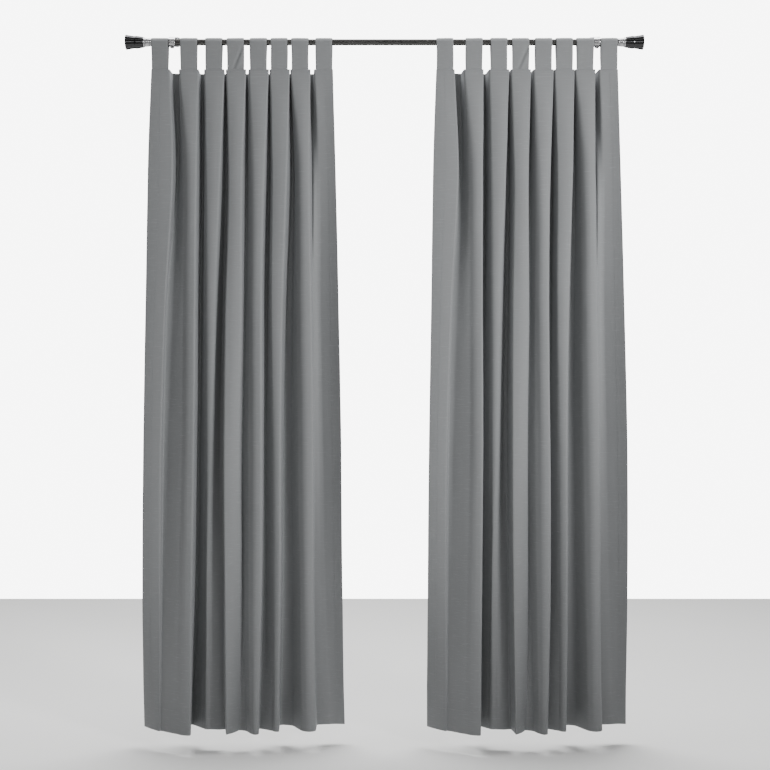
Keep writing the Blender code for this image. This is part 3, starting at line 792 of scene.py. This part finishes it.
def plan_rows(corners, bends, swells):
    """Points along the rounded plan of every row: rows x columns x 2. Each front swells by its own amount."""
    rows, count = corners.shape[:2]
    spans = corners[:, 1:] - corners[:, :-1]
    lengths = np.linalg.norm(spans, axis=2)
    ways = spans / lengths[..., None]
    reach = np.zeros((rows, count))
    reach[:, 1:-1] = np.minimum(bends[:, 1:-1], 0.47 * np.minimum(lengths[:, :-1], lengths[:, 1:]))
    columns = []

    def bend(corner, share):
        before = corners[:, corner] - ways[:, max(0, corner - 1)] * reach[:, corner, None]
        after = corners[:, corner] + ways[:, min(count - 2, corner)] * reach[:, corner, None]
        middle = corners[:, corner]
        first = before + (middle - before) * share
        second = middle + (after - middle) * share
        return first + (second - first) * share

    for span in range(count - 1):
        own = []
        if span > 0:
            own += [bend(span, 0.5 + 0.5 * step / BEND_COLUMNS) for step in range(BEND_COLUMNS)]
        start = corners[:, span] + ways[:, span] * reach[:, span, None]
        end = corners[:, span + 1] - ways[:, span] * reach[:, span + 1, None]
        own += [start + (end - start) * step / FLAT_COLUMNS for step in range(FLAT_COLUMNS + 1)]
        if span < count - 2:
            own += [bend(span + 1, 0.5 * step / BEND_COLUMNS) for step in range(1, BEND_COLUMNS + 1)]
        own = np.stack(own, axis=1)
        if span % 4 == 0:
            along = np.cumsum(np.linalg.norm(np.diff(own, axis=1, prepend=own[:, :1]), axis=2), axis=1)
            outward = np.stack([ways[:, span, 1], -ways[:, span, 0]], axis=-1)
            swell = np.sin(math.pi * along / along[:, -1:]) * swells[:, span // 4, None]
            own = own + outward[:, None, :] * swell[..., None]
        # The last point of a span is the first of the next.
        columns.append(own if span == count - 2 else own[:, :-1])
    return np.concatenate(columns, axis=1)


def row_heights(top, bottom, cloth):
    """Heights of the rows, closer together at the top edge, at the stitch line and at the hem."""
    drops = [0.0, 0.0012, 0.003, 0.006, 0.010, 0.016, 0.024, 0.034, 0.046]
    total = top - bottom
    stitch = total - cloth.hem_depth
    near, hem_rows = 0.006, 5

    def spread(end, steps):
        start = drops[-1]
        return [start + (end - start) * (step + 1) / steps for step in range(steps)]

    drops += spread(stitch - near, round((stitch - near - drops[-1]) / cloth.row_step))
    drops += [stitch + offset for offset in (-0.0030, -0.0014, 0.0, 0.0014, 0.0030, near)]
    drops += spread(total - near, hem_rows)
    drops += [total - 0.003, total - 0.0012, total]
    return top - np.array(drops)


def panel_surface(centres, axis, cloth):
    """The middle of a panel's cloth: points (rows x columns x 3), their normals and their flat places."""
    tabs_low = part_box("left_tab_1")[0]
    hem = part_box("left_panel_1")[0].z
    heights = row_heights(tabs_low.z, hem, cloth)
    shares = (heights[0] - heights) / (heights[0] - heights[-1])
    levels = [fold_corners(centres, level) for level in range(len(FOLD_SHARES))]
    corners = smooth_levels(FOLD_SHARES, levels, shares)
    count = corners.shape[1]
    # The folds wander a little on the way down.
    fade = np.minimum(1.0, shares / 0.2) * np.minimum(1.0, (1.0 - shares) / 0.1 + 0.35)
    for corner in range(count):
        phase = 1.7 * corner
        corners[:, corner, 0] += cloth.sway * fade * np.sin(shares * 5.3 + phase)
        corners[:, corner, 1] += cloth.sway * 1.3 * fade * np.sin(shares * 7.9 + 0.6 * phase + 1.0)
    kinds = [0] + [1, 2, 2, 0] * (len(centres) - 1) + [1]
    bends = smooth_levels(FOLD_SHARES, [[level[kind] / 1000 for kind in kinds] for level in BENDS], shares)
    opened = np.minimum(1.0, shares / 0.10)
    for pleat, share in enumerate(LEFT_BENDS):
        bends[:, pleat * 4] *= 1.0 + (share - 1.0) * opened
    swells = np.outer(0.1 + 0.9 * np.minimum(1.0, shares / 0.05), np.array(SWELLS) / 1000)
    plan = plan_rows(corners, np.maximum(bends, 0.002), swells)

    points = np.empty(plan.shape[:2] + (3,))
    points[..., 0] = plan[..., 0]
    forward = smooth_levels(FOLD_SHARES, np.array(HANG_FORWARD) / 1000, shares)
    points[..., 1] = axis.y + plan[..., 1] - forward[:, None]
    points[..., 2] = heights[:, None]
    steps = np.linalg.norm(np.diff(plan, axis=1), axis=2)
    across = np.concatenate([[0.0], np.cumsum(steps.mean(axis=0))])
    down = heights[0] - heights

    normals = surface_normals(points)
    dent = np.empty(points.shape[:2])
    for row, drop in enumerate(down):
        for column, place in enumerate(across):
            broad = noise.noise(Vector((place * 11.0 + centres[0], drop * 2.6, 0.0)))
            fine = noise.noise(Vector((place * 30.0, drop * 9.0, 4.0 + centres[0])))
            dent[row, column] = cloth.dents * (broad + 0.35 * fine) * min(1.0, drop / 0.12)
    points += normals * dent[..., None]
    # Small puckers on each side of the hem's stitches.
    gather = np.exp(-((down - (down[-1] - cloth.hem_depth)) / 0.011) ** 2)
    ripple = 0.00035 * np.sin(across * 2 * math.pi / 0.017 + 2.0 * np.sin(across * 37.0))
    points += normals * (gather[:, None] * ripple[None, :])[..., None]
    return points, surface_normals(points), across, down


def surface_normals(points):
    """Unit normals of a grid of points, towards the room."""
    along = np.gradient(points, axis=1)
    downward = np.gradient(points, axis=0)
    normals = np.cross(along, downward)
    normals /= np.linalg.norm(normals, axis=2)[..., None]
    return -normals


def cloth_layers(points, normals, across, down, cloth):
    """Front and back of the cloth, thicker where it is turned over, with the stitch lines pulled in."""
    half = cloth.thickness / 2
    height = down[-1] - down
    edge = np.minimum(across, across[-1] - across)
    step = 0.0016

    def ramp(value):
        return np.clip(value / step + 0.5, 0.0, 1.0)

    turned_over = np.maximum(ramp(cloth.hem_depth - height)[:, None], ramp(cloth.side_hem - edge)[None, :])
    turned_over = np.maximum(turned_over, ramp(cloth.header_depth - down)[:, None])
    groove = 0.0012
    line = np.maximum(np.exp(-((height - cloth.hem_depth + STITCH_INSET) / groove) ** 2)[:, None],
                      np.exp(-((edge - cloth.side_hem + STITCH_INSET) / groove) ** 2)[None, :])
    rounded = np.minimum(1.0, 0.55 + np.minimum(down, height) / 0.003)[:, None]
    ahead = (half + 0.15 * cloth.hem_bulk * turned_over - 0.0003 * line) * rounded
    behind = (half + cloth.hem_bulk * turned_over - 0.0002 * line) * rounded
    return points + normals * ahead[..., None], points - normals * behind[..., None]


def add_stitches(run, outward, cloth, points, faces):
    """Spindle-shaped stitches along a run of points, each sunk a little at its ends."""
    run = np.array(run)
    steps = np.linalg.norm(np.diff(run, axis=0), axis=1)
    along = np.concatenate([[0.0], np.cumsum(steps)])
    count = int(along[-1] / cloth.stitch_pitch)
    outward = np.array(outward)

    def at(values, distance):
        return np.array([np.interp(distance, along, values[:, axis]) for axis in range(3)])

    for number in range(count):
        middle = (number + 0.5) * along[-1] / count
        start, end = at(run, middle - cloth.stitch / 2), at(run, middle + cloth.stitch / 2)
        lift = at(outward, middle)
        lift /= np.linalg.norm(lift)
        way = (end - start) / np.linalg.norm(end - start)
        aside = np.cross(way, lift)
        first = len(points)
        points += [start - lift * cloth.thread * 0.6, end - lift * cloth.thread * 0.6]
        for share in (0.22, 0.78):
            centre = start + (end - start) * share + lift * cloth.thread * 0.5
            for side in range(5):
                angle = 2 * math.pi * side / 5
                points.append(centre + cloth.thread * (lift * math.cos(angle) + aside * math.sin(angle)))
        for side in range(5):
            following = (side + 1) % 5
            faces.append((first, first + 2 + following, first + 2 + side))
            faces.append((first + 2 + side, first + 2 + following, first + 7 + following, first + 7 + side))
            faces.append((first + 1, first + 7 + side, first + 7 + following))


def build_panel(side, cloth):
    """One panel, made whole and then divided at the tabs."""
    axis, _ = rod_axis()
    numbers = sorted(range(1, PLEATS + 1), key=lambda number: middle_of(f"{side}_tab_{number}").x)
    centres = [middle_of(f"{side}_tab_{number}").x for number in numbers]
    points, normals, across, down = panel_surface(centres, axis, cloth)
    front, back = cloth_layers(points, normals, across, down, cloth)
    rows, columns = front.shape[:2]

    # Vertices: the front, the back, and one rounded edge all the way round.
    border = [(0, column) for column in range(columns)]
    border += [(row, columns - 1) for row in range(1, rows)]
    border += [(rows - 1, column) for column in range(columns - 2, -1, -1)]
    border += [(row, 0) for row in range(rows - 2, 0, -1)]
    rim = []
    for row, column in border:
        middle = (front[row, column] + back[row, column]) / 2
        out = np.zeros(3)
        if row in (0, rows - 1):
            out[2] = 1.0 if row == 0 else -1.0
        if column in (0, columns - 1):
            inner = 1 if column == 0 else columns - 2
            away = points[row, column] - points[row, inner]
            out += away / np.linalg.norm(away)
        rim.append(middle + out / np.linalg.norm(out) * cloth.thickness * 0.32)
    count = rows * columns
    vertices = np.concatenate([front.reshape(-1, 3), back.reshape(-1, 3), np.array(rim)])
    flat = np.zeros((len(vertices), 3))
    grid = np.stack(np.meshgrid(across, -down), axis=-1).reshape(-1, 2)
    flat[:count, :2] = grid
    flat[count:2 * count, :2] = grid
    flat[2 * count:, :2] = [(across[column], -down[row]) for row, column in border]

    index = np.arange(count).reshape(rows, columns)
    quads = np.stack([index[:-1, :-1], index[1:, :-1], index[1:, 1:], index[:-1, 1:]], axis=-1).reshape(-1, 4)
    faces = [quads, quads[:, ::-1] + count]
    edge = np.array([row * columns + column for row, column in border])
    following = np.roll(edge, -1)
    middle = 2 * count + np.arange(len(border))
    middle_following = np.roll(middle, -1)
    faces.append(np.stack([edge, following, middle_following, middle], axis=-1))
    faces.append(np.stack([middle, middle_following, following + count, edge + count], axis=-1))
    faces = np.concatenate(faces)

    shading = np.zeros((len(vertices), 3))
    shading[:count] = surface_normals(front).reshape(-1, 3)
    shading[count:2 * count] = -surface_normals(back).reshape(-1, 3)
    outwards = np.array(rim) - (front.reshape(-1, 3)[edge] + back.reshape(-1, 3)[edge]) / 2
    shading[2 * count:] = outwards / np.linalg.norm(outwards, axis=1)[:, None]

    stitch_runs = []
    stitch_row = int(np.argmin(abs(down - (down[-1] - cloth.hem_depth + STITCH_INSET))))
    stitch_runs.append((front[stitch_row], normals[stitch_row]))
    for target in (cloth.side_hem - STITCH_INSET, across[-1] - cloth.side_hem + STITCH_INSET):
        column = int(np.argmin(abs(across - target)))
        share = slice(4, stitch_row)
        stitch_runs.append((front[share, column], normals[share, column]))
    # The seam under each strap, on the front of the pleat only.
    top_row, half_seam, front_only = 3, 0.026, 0.004
    for centre in centres:
        inside = abs(points[top_row, :, 0] - centre) < half_seam
        inside &= points[top_row, :, 1] < axis.y + front_only
        stitch_runs.append((front[top_row, inside], normals[top_row, inside]))
    stitch_points, stitch_faces = [], []
    for run, outward in stitch_runs:
        add_stitches(run, outward, cloth, stitch_points, stitch_faces)
    stitch_points = np.array(stitch_points)

    cuts = [-math.inf] + centres[1:-1] + [math.inf]
    for strip, (low, high) in enumerate(zip(cuts, cuts[1:])):
        first, second = numbers[strip], numbers[strip + 1]
        name = f"{side}_curtain_cloth_{strip + 1}"
        piece = cut_strip(name, vertices, faces, flat, shading, low, high)
        area = sum(face.area for face in piece.data.polygons) / 2
        drop = down[-1]
        add_stitch_faces(piece, stitch_points, stitch_faces, low, high)
        piece.data.materials.append(shared_finish("cloth"))
        piece.data.materials.append(shared_finish("thread"))
        replaced = [f"{side}_panel_{first}"] + ([f"{side}_panel_{second}"] if strip == PLEATS - 2 else [])
        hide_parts(*replaced)
        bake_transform(piece)
        area / drop


def cut_strip(name, vertices, faces, flat, shading, low, high):
    """The part of the panel between two upright planes, closed where it is cut."""
    x = vertices[:, 0][faces]
    keep = faces[(x.max(axis=1) > low) & (x.min(axis=1) < high)]
    used, renumbered = np.unique(keep, return_inverse=True)
    renumbered = renumbered.reshape(keep.shape)
    mesh = bpy.data.meshes.new(name)
    mesh.from_pydata(vertices[used].tolist(), [], renumbered.tolist())
    for title, values in (("cloth_flat", flat), ("cloth_normal", shading)):
        layer = mesh.attributes.new(title, "FLOAT_VECTOR", "POINT")
        layer.data.foreach_set("vector", values[used].astype(np.float32).ravel())
    work = bmesh.new()
    work.from_mesh(mesh)
    for plane, outer in ((low, False), (high, True)):
        if math.isinf(plane):
            continue
        everything = list(work.verts) + list(work.edges) + list(work.faces)
        bmesh.ops.bisect_plane(work, geom=everything, dist=1e-7, plane_co=(plane, 0, 0), plane_no=(1, 0, 0),
                               clear_outer=outer, clear_inner=not outer)
        rim = [edge for edge in work.edges
               if edge.is_boundary and all(abs(vert.co.x - plane) < 1e-5 for vert in edge.verts)]
        caps = bmesh.ops.edgenet_fill(work, edges=rim)["faces"]
        bmesh.ops.triangulate(work, faces=caps)
    bmesh.ops.delete(work, geom=[edge for edge in work.edges if edge.is_wire], context="EDGES")
    for edge in work.edges:
        if not edge.is_manifold:
            print(name, "has an edge that does not close at", edge.verts[0].co)
    work.to_mesh(mesh)
    work.free()
    piece = bpy.data.objects.new(name, mesh)
    bpy.context.scene.collection.objects.link(piece)
    return piece


def add_stitch_faces(piece, stitch_points, stitch_faces, low, high):
    """Add the stitches between two planes to a strip, and set its smooth normals."""
    mesh = piece.data
    mesh.shade_smooth()
    work = bmesh.new()
    work.from_mesh(mesh)
    layer = work.verts.layers.float_vector["cloth_normal"]
    made = {}
    for face in stitch_faces:
        stitch = face[0] // STITCH_POINTS
        middle = stitch_points[stitch * STITCH_POINTS:(stitch + 1) * STITCH_POINTS, 0].mean()
        if not low <= middle < high:
            continue
        for index in face:
            if index not in made:
                made[index] = work.verts.new(stitch_points[index])
                centre = stitch_points[stitch * STITCH_POINTS:(stitch + 1) * STITCH_POINTS].mean(axis=0)
                made[index][layer] = Vector(stitch_points[index] - centre).normalized()
        added = work.faces.new([made[index] for index in face])
        added.material_index = 1
        added.smooth = True
    work.to_mesh(mesh)
    work.free()
    saved = np.zeros(len(mesh.vertices) * 3, np.float32)
    mesh.attributes["cloth_normal"].data.foreach_get("vector", saved)
    saved = saved.reshape(-1, 3)
    size = np.linalg.norm(saved, axis=1)
    saved[size < 1e-6] = (0.0, -1.0, 0.0)
    saved /= np.maximum(np.linalg.norm(saved, axis=1), 1e-6)[:, None]
    mesh.attributes.remove(mesh.attributes["cloth_normal"])
    mesh.normals_split_custom_set_from_vertices(saved.tolist())


# ---------------------------------------------------------------- straps

# The strap with the diagonal crease, counted from 0 at the panel's left edge.
CREASED = 3


def dip(distance, width):
    """A smooth rise to 1 at no distance, fading over the width."""
    return math.exp(-(distance / width) ** 2)


def strap_path(radius, foot_low, foot_depth, front_depth):
    """Side view of a strap from its front foot over the rod to its back foot, as (depth, height)."""
    path = []
    run = 22
    for step in range(run):
        share = step / run
        ease = share ** 1.15
        path.append((front_depth + (-radius - front_depth) * ease, foot_low * (1 - share)))
    turn = 26
    for step in range(turn + 1):
        angle = math.pi * (1 - step / turn)
        path.append((radius * math.cos(angle), radius * math.sin(angle)))
    for step in range(1, run + 1):
        share = step / run
        ease = 1 - (1 - share) ** 1.15
        path.append((radius + (foot_depth - radius) * ease, foot_low * share))
    return path


def build_strap(side, number, order, tab, cloth):
    """One tab: a strap of doubled cloth over the rod, its feet sewn into the header."""
    axis, rod_radius = rod_axis()
    low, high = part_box(f"{side}_tab_{number}")
    centre, half_width = (low.x + high.x) / 2, (high.x - low.x) / 2
    foot_low = low.z - tab.tuck
    middle_radius = rod_radius + tab.ease + tab.thickness / 2
    path = np.array(strap_path(middle_radius, foot_low, 0.0, -0.0013))
    steps = np.linalg.norm(np.diff(path, axis=0), axis=1)
    along = np.concatenate([[0.0], np.cumsum(steps)])
    ways = np.gradient(path, axis=0)
    ways /= np.linalg.norm(ways, axis=1)[:, None]
    outward = np.stack([-ways[:, 1], ways[:, 0]], axis=1)
    if outward[len(path) // 2, 1] < 0:
        outward = -outward
    count_across = 16
    places = np.linspace(-1.0, 1.0, count_across)
    corner = 0.00085
    points, flats = [], []
    for index, (depth, height) in enumerate(path):
        lift = max(0.0, min(1.0, (height - foot_low) / (abs(foot_low) * 0.9)))
        thick = tab.foot_thickness + (tab.thickness - tab.foot_thickness) * lift ** 0.8
        edge_wave = tab.wave * math.sin(along[index] * 47.0 + order * 2.1) * lift
        edge_wave_other = tab.wave * math.sin(along[index] * 39.0 + order * 3.7 + 1.0) * lift
        front_half = index < len(path) / 2
        section = []
        for face in (1, -1):
            ordered = places if face > 0 else places[::-1]
            for place in ordered:
                wander = edge_wave if place < 0 else edge_wave_other
                x = centre + place * (half_width - corner * 0.6) + wander
                sink = max(0.0, (abs(place) - 0.93) / 0.07) ** 2
                swell = 0.00025 * math.cos(place * math.pi / 2) * lift
                off = face * (thick / 2 * (1 - 0.55 * sink) + swell)
                soft = noise.noise(Vector((x * 32.0, along[index] * 26.0, order * 3.1))) * 0.0007 * lift
                if front_half:
                    # The seam at the strap's foot, and the bend just above the rod's middle.
                    soft -= 0.0013 * dip(height - low.z - 0.0015, 0.0022)
                    soft -= 0.0005 * dip(height - middle_radius * 0.35, 0.0014)
                if order == CREASED and front_half:
                    slant = place * half_width - 0.008 - (height + 0.047) * 0.42
                    fade = math.sin(math.pi * lift) ** 0.5
                    soft -= tab.crease * dip(slant, 0.0045) * fade
                    soft += tab.crease * 0.8 * dip(slant - 0.009, 0.006) * fade
                section.append((x, axis.y + depth + outward[index][0] * (off + soft),
                                axis.z + height + outward[index][1] * (off + soft)))
                flats.append((place * half_width + order * 0.31, along[index], 0.0))
        points += section
    around = 2 * count_across
    faces = ring_faces(len(path), around, closed=False)
    for ring in (0, len(path) - 1):
        base = ring * around
        for spot in range(count_across - 1):
            faces.append((base + spot, base + spot + 1, base + around - 2 - spot, base + around - 1 - spot))
    strap = place_mesh(f"{side}_strap_{number}", points, faces, shared_finish("cloth"), sharp=60.0)
    layer = strap.data.attributes.new("cloth_flat", "FLOAT_VECTOR", "POINT")
    layer.data.foreach_set("vector", np.array(flats, np.float32).ravel())
    stand_in(strap, f"{side}_tab_{number}", f"{side}_curtain_{number}")


# ---------------------------------------------------------------- stage

def aim(thing, place, target):
    way = Vector(target) - Vector(place)
    thing.matrix_world = Matrix.Translation(place) @ way.to_track_quat("-Z", "Y").to_matrix().to_4x4()


def soft_box(power, width, height):
    light = bpy.data.lights.new("soft box", "AREA")
    light.shape = "RECTANGLE"
    light.size = width
    light.size_y = height
    light.energy = power
    return light


def place_light(name, light, place, target):
    light.name = name
    thing = bpy.data.objects.new(name, light)
    bpy.context.scene.collection.objects.link(thing)
    thing.visible_camera = False
    aim(thing, place, target)


# The rectangular lights: name, setting that holds the power, width and height, place and target.
SOFT_BOXES = (
    ("front light", "fill", (3.6, 0.4), (0.0, -3.7, -0.35), (0.0, 0.0, -0.35)),
    ("top light", "top", (4.5, 2.4), (0.0, 0.7, 2.4), (0.0, 0.7, -2.0)),
    ("high light", "high", (3.8, 0.35), (0.0, -2.6, 2.0), (0.0, 0.0, 0.0)),
)
KEY_PLACE, KEY_TARGET = (2.6, -3.0, -0.20), (0.0, 0.0, -0.67)
CAMERA_X, CAMERA_Z = 0.0015, -1.0586


def build_stage(stage):
    half = stage.floor_size / 2
    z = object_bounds()[0].z - stage.floor_drop
    points = [(-half, -half, z), (half, -half, z), (half, half, z), (-half, half, z)]
    floor = place_mesh("floor", points, [(0, 1, 2, 3)], floor_finish(tuple(stage.floor_colour)))
    floor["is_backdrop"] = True

    world = bpy.data.worlds.new("soft studio")
    bpy.context.scene.world = world
    world.use_nodes = True
    tree = world.node_tree
    tree.nodes.clear()
    # The camera sees a bright backdrop, while everything else gets the even light.
    backgrounds = []
    for strength in (stage.ambient, stage.seen):
        background = tree.nodes.new("ShaderNodeBackground")
        background.inputs["Color"].default_value = (*stage.backdrop_colour, 1.0)
        background.inputs["Strength"].default_value = strength
        backgrounds.append(background)
    path = tree.nodes.new("ShaderNodeLightPath")
    join = tree.nodes.new("ShaderNodeMixShader")
    output = tree.nodes.new("ShaderNodeOutputWorld")
    tree.links.new(path.outputs["Is Camera Ray"], join.inputs[0])
    for socket, background in enumerate(backgrounds, 1):
        tree.links.new(background.outputs[0], join.inputs[socket])
    tree.links.new(join.outputs[0], output.inputs[0])

    key = bpy.data.lights.new("key light", "SPOT")
    key.energy = stage.key
    key.shadow_soft_size = 0.55
    key.spot_size = math.radians(45)
    key.spot_blend = 0.85
    place_light("key light", key, KEY_PLACE, KEY_TARGET)
    for name, power, size, place, target in SOFT_BOXES:
        place_light(name, soft_box(getattr(stage, power), *size), place, target)

    camera = bpy.data.cameras.new("camera")
    camera.lens = stage.lens
    camera.sensor_width = 36.0
    viewer = bpy.data.objects.new("camera", camera)
    bpy.context.scene.collection.objects.link(viewer)
    place = Vector((CAMERA_X, -stage.camera_distance, CAMERA_Z))
    aim(viewer, place, place + Vector((0, 1, 0)))
    bpy.context.scene.camera = viewer


# ---------------------------------------------------------------- operators and panel

class CURTAIN_OT_rod(bpy.types.Operator):
    """Build the rod and finish the plugs in its ends."""
    bl_idname = "curtain.rod"
    bl_label = "Rod"

    def execute(self, context):
        build_rod(context.scene.curtain_metal)
        return {"FINISHED"}


class CURTAIN_OT_finials(bpy.types.Operator):
    """Build the trumpet finials with their collars."""
    bl_idname = "curtain.finials"
    bl_label = "Finials"

    def execute(self, context):
        build_finials(context.scene.curtain_metal)
        return {"FINISHED"}


class CURTAIN_OT_brackets(bpy.types.Operator):
    """Build the wall brackets with their rings and screws."""
    bl_idname = "curtain.brackets"
    bl_label = "Brackets"

    def execute(self, context):
        build_brackets(context.scene.curtain_metal)
        return {"FINISHED"}


class CURTAIN_OT_straps(bpy.types.Operator):
    """Build the tabs that hang over the rod."""
    bl_idname = "curtain.straps"
    bl_label = "Tabs"

    def execute(self, context):
        scene = context.scene
        for side in SIDES:
            numbers = sorted(range(1, PLEATS + 1), key=lambda number: middle_of(f"{side}_tab_{number}").x)
            for order, number in enumerate(numbers):
                build_strap(side, number, order, scene.curtain_tabs, scene.curtain_cloth)
        return {"FINISHED"}


class CURTAIN_OT_panels(bpy.types.Operator):
    """Build the two pleated panels of cloth."""
    bl_idname = "curtain.panels"
    bl_label = "Panels"

    def execute(self, context):
        for side in SIDES:
            build_panel(side, context.scene.curtain_cloth)
        return {"FINISHED"}


class CURTAIN_OT_stage(bpy.types.Operator):
    """Lay the floor and set the lights and the camera."""
    bl_idname = "curtain.stage"
    bl_label = "Stage"

    def execute(self, context):
        build_stage(context.scene.curtain_stage)
        return {"FINISHED"}


OPERATORS = (
    CURTAIN_OT_rod, CURTAIN_OT_finials, CURTAIN_OT_brackets,
    CURTAIN_OT_straps, CURTAIN_OT_panels, CURTAIN_OT_stage,
)
SETTINGS = {
    "curtain_cloth": ClothSettings,
    "curtain_tabs": TabSettings,
    "curtain_metal": MetalSettings,
    "curtain_stage": StageSettings,
}


class CURTAIN_PT_sidebar(bpy.types.Panel):
    """Sizes, colours and steps of the curtains."""
    bl_idname = "CURTAIN_PT_sidebar"
    bl_label = "Curtains"
    bl_space_type = "VIEW_3D"
    bl_region_type = "UI"
    bl_category = "Curtains"

    def draw(self, context):
        for title in SETTINGS:
            box = self.layout.box()
            group = getattr(context.scene, title)
            box.label(text=title.replace("curtain_", "").capitalize())
            for key in SETTINGS[title].__annotations__:
                box.prop(group, key)
        for operator in OPERATORS:
            self.layout.operator(operator.bl_idname)


def register():
    for item in (*SETTINGS.values(), *OPERATORS, CURTAIN_PT_sidebar):
        bpy.utils.register_class(item)
    for title, group in SETTINGS.items():
        setattr(bpy.types.Scene, title, PointerProperty(type=group))


def unregister():
    for title in SETTINGS:
        delattr(bpy.types.Scene, title)
    for item in reversed((*SETTINGS.values(), *OPERATORS, CURTAIN_PT_sidebar)):
        bpy.utils.unregister_class(item)


def main():
    register()
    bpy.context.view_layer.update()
    bpy.ops.curtain.rod()
    bpy.ops.curtain.finials()
    bpy.ops.curtain.brackets()
    bpy.ops.curtain.straps()
    bpy.ops.curtain.panels()
    bpy.ops.curtain.stage()


if __name__ == "__main__":
    main()
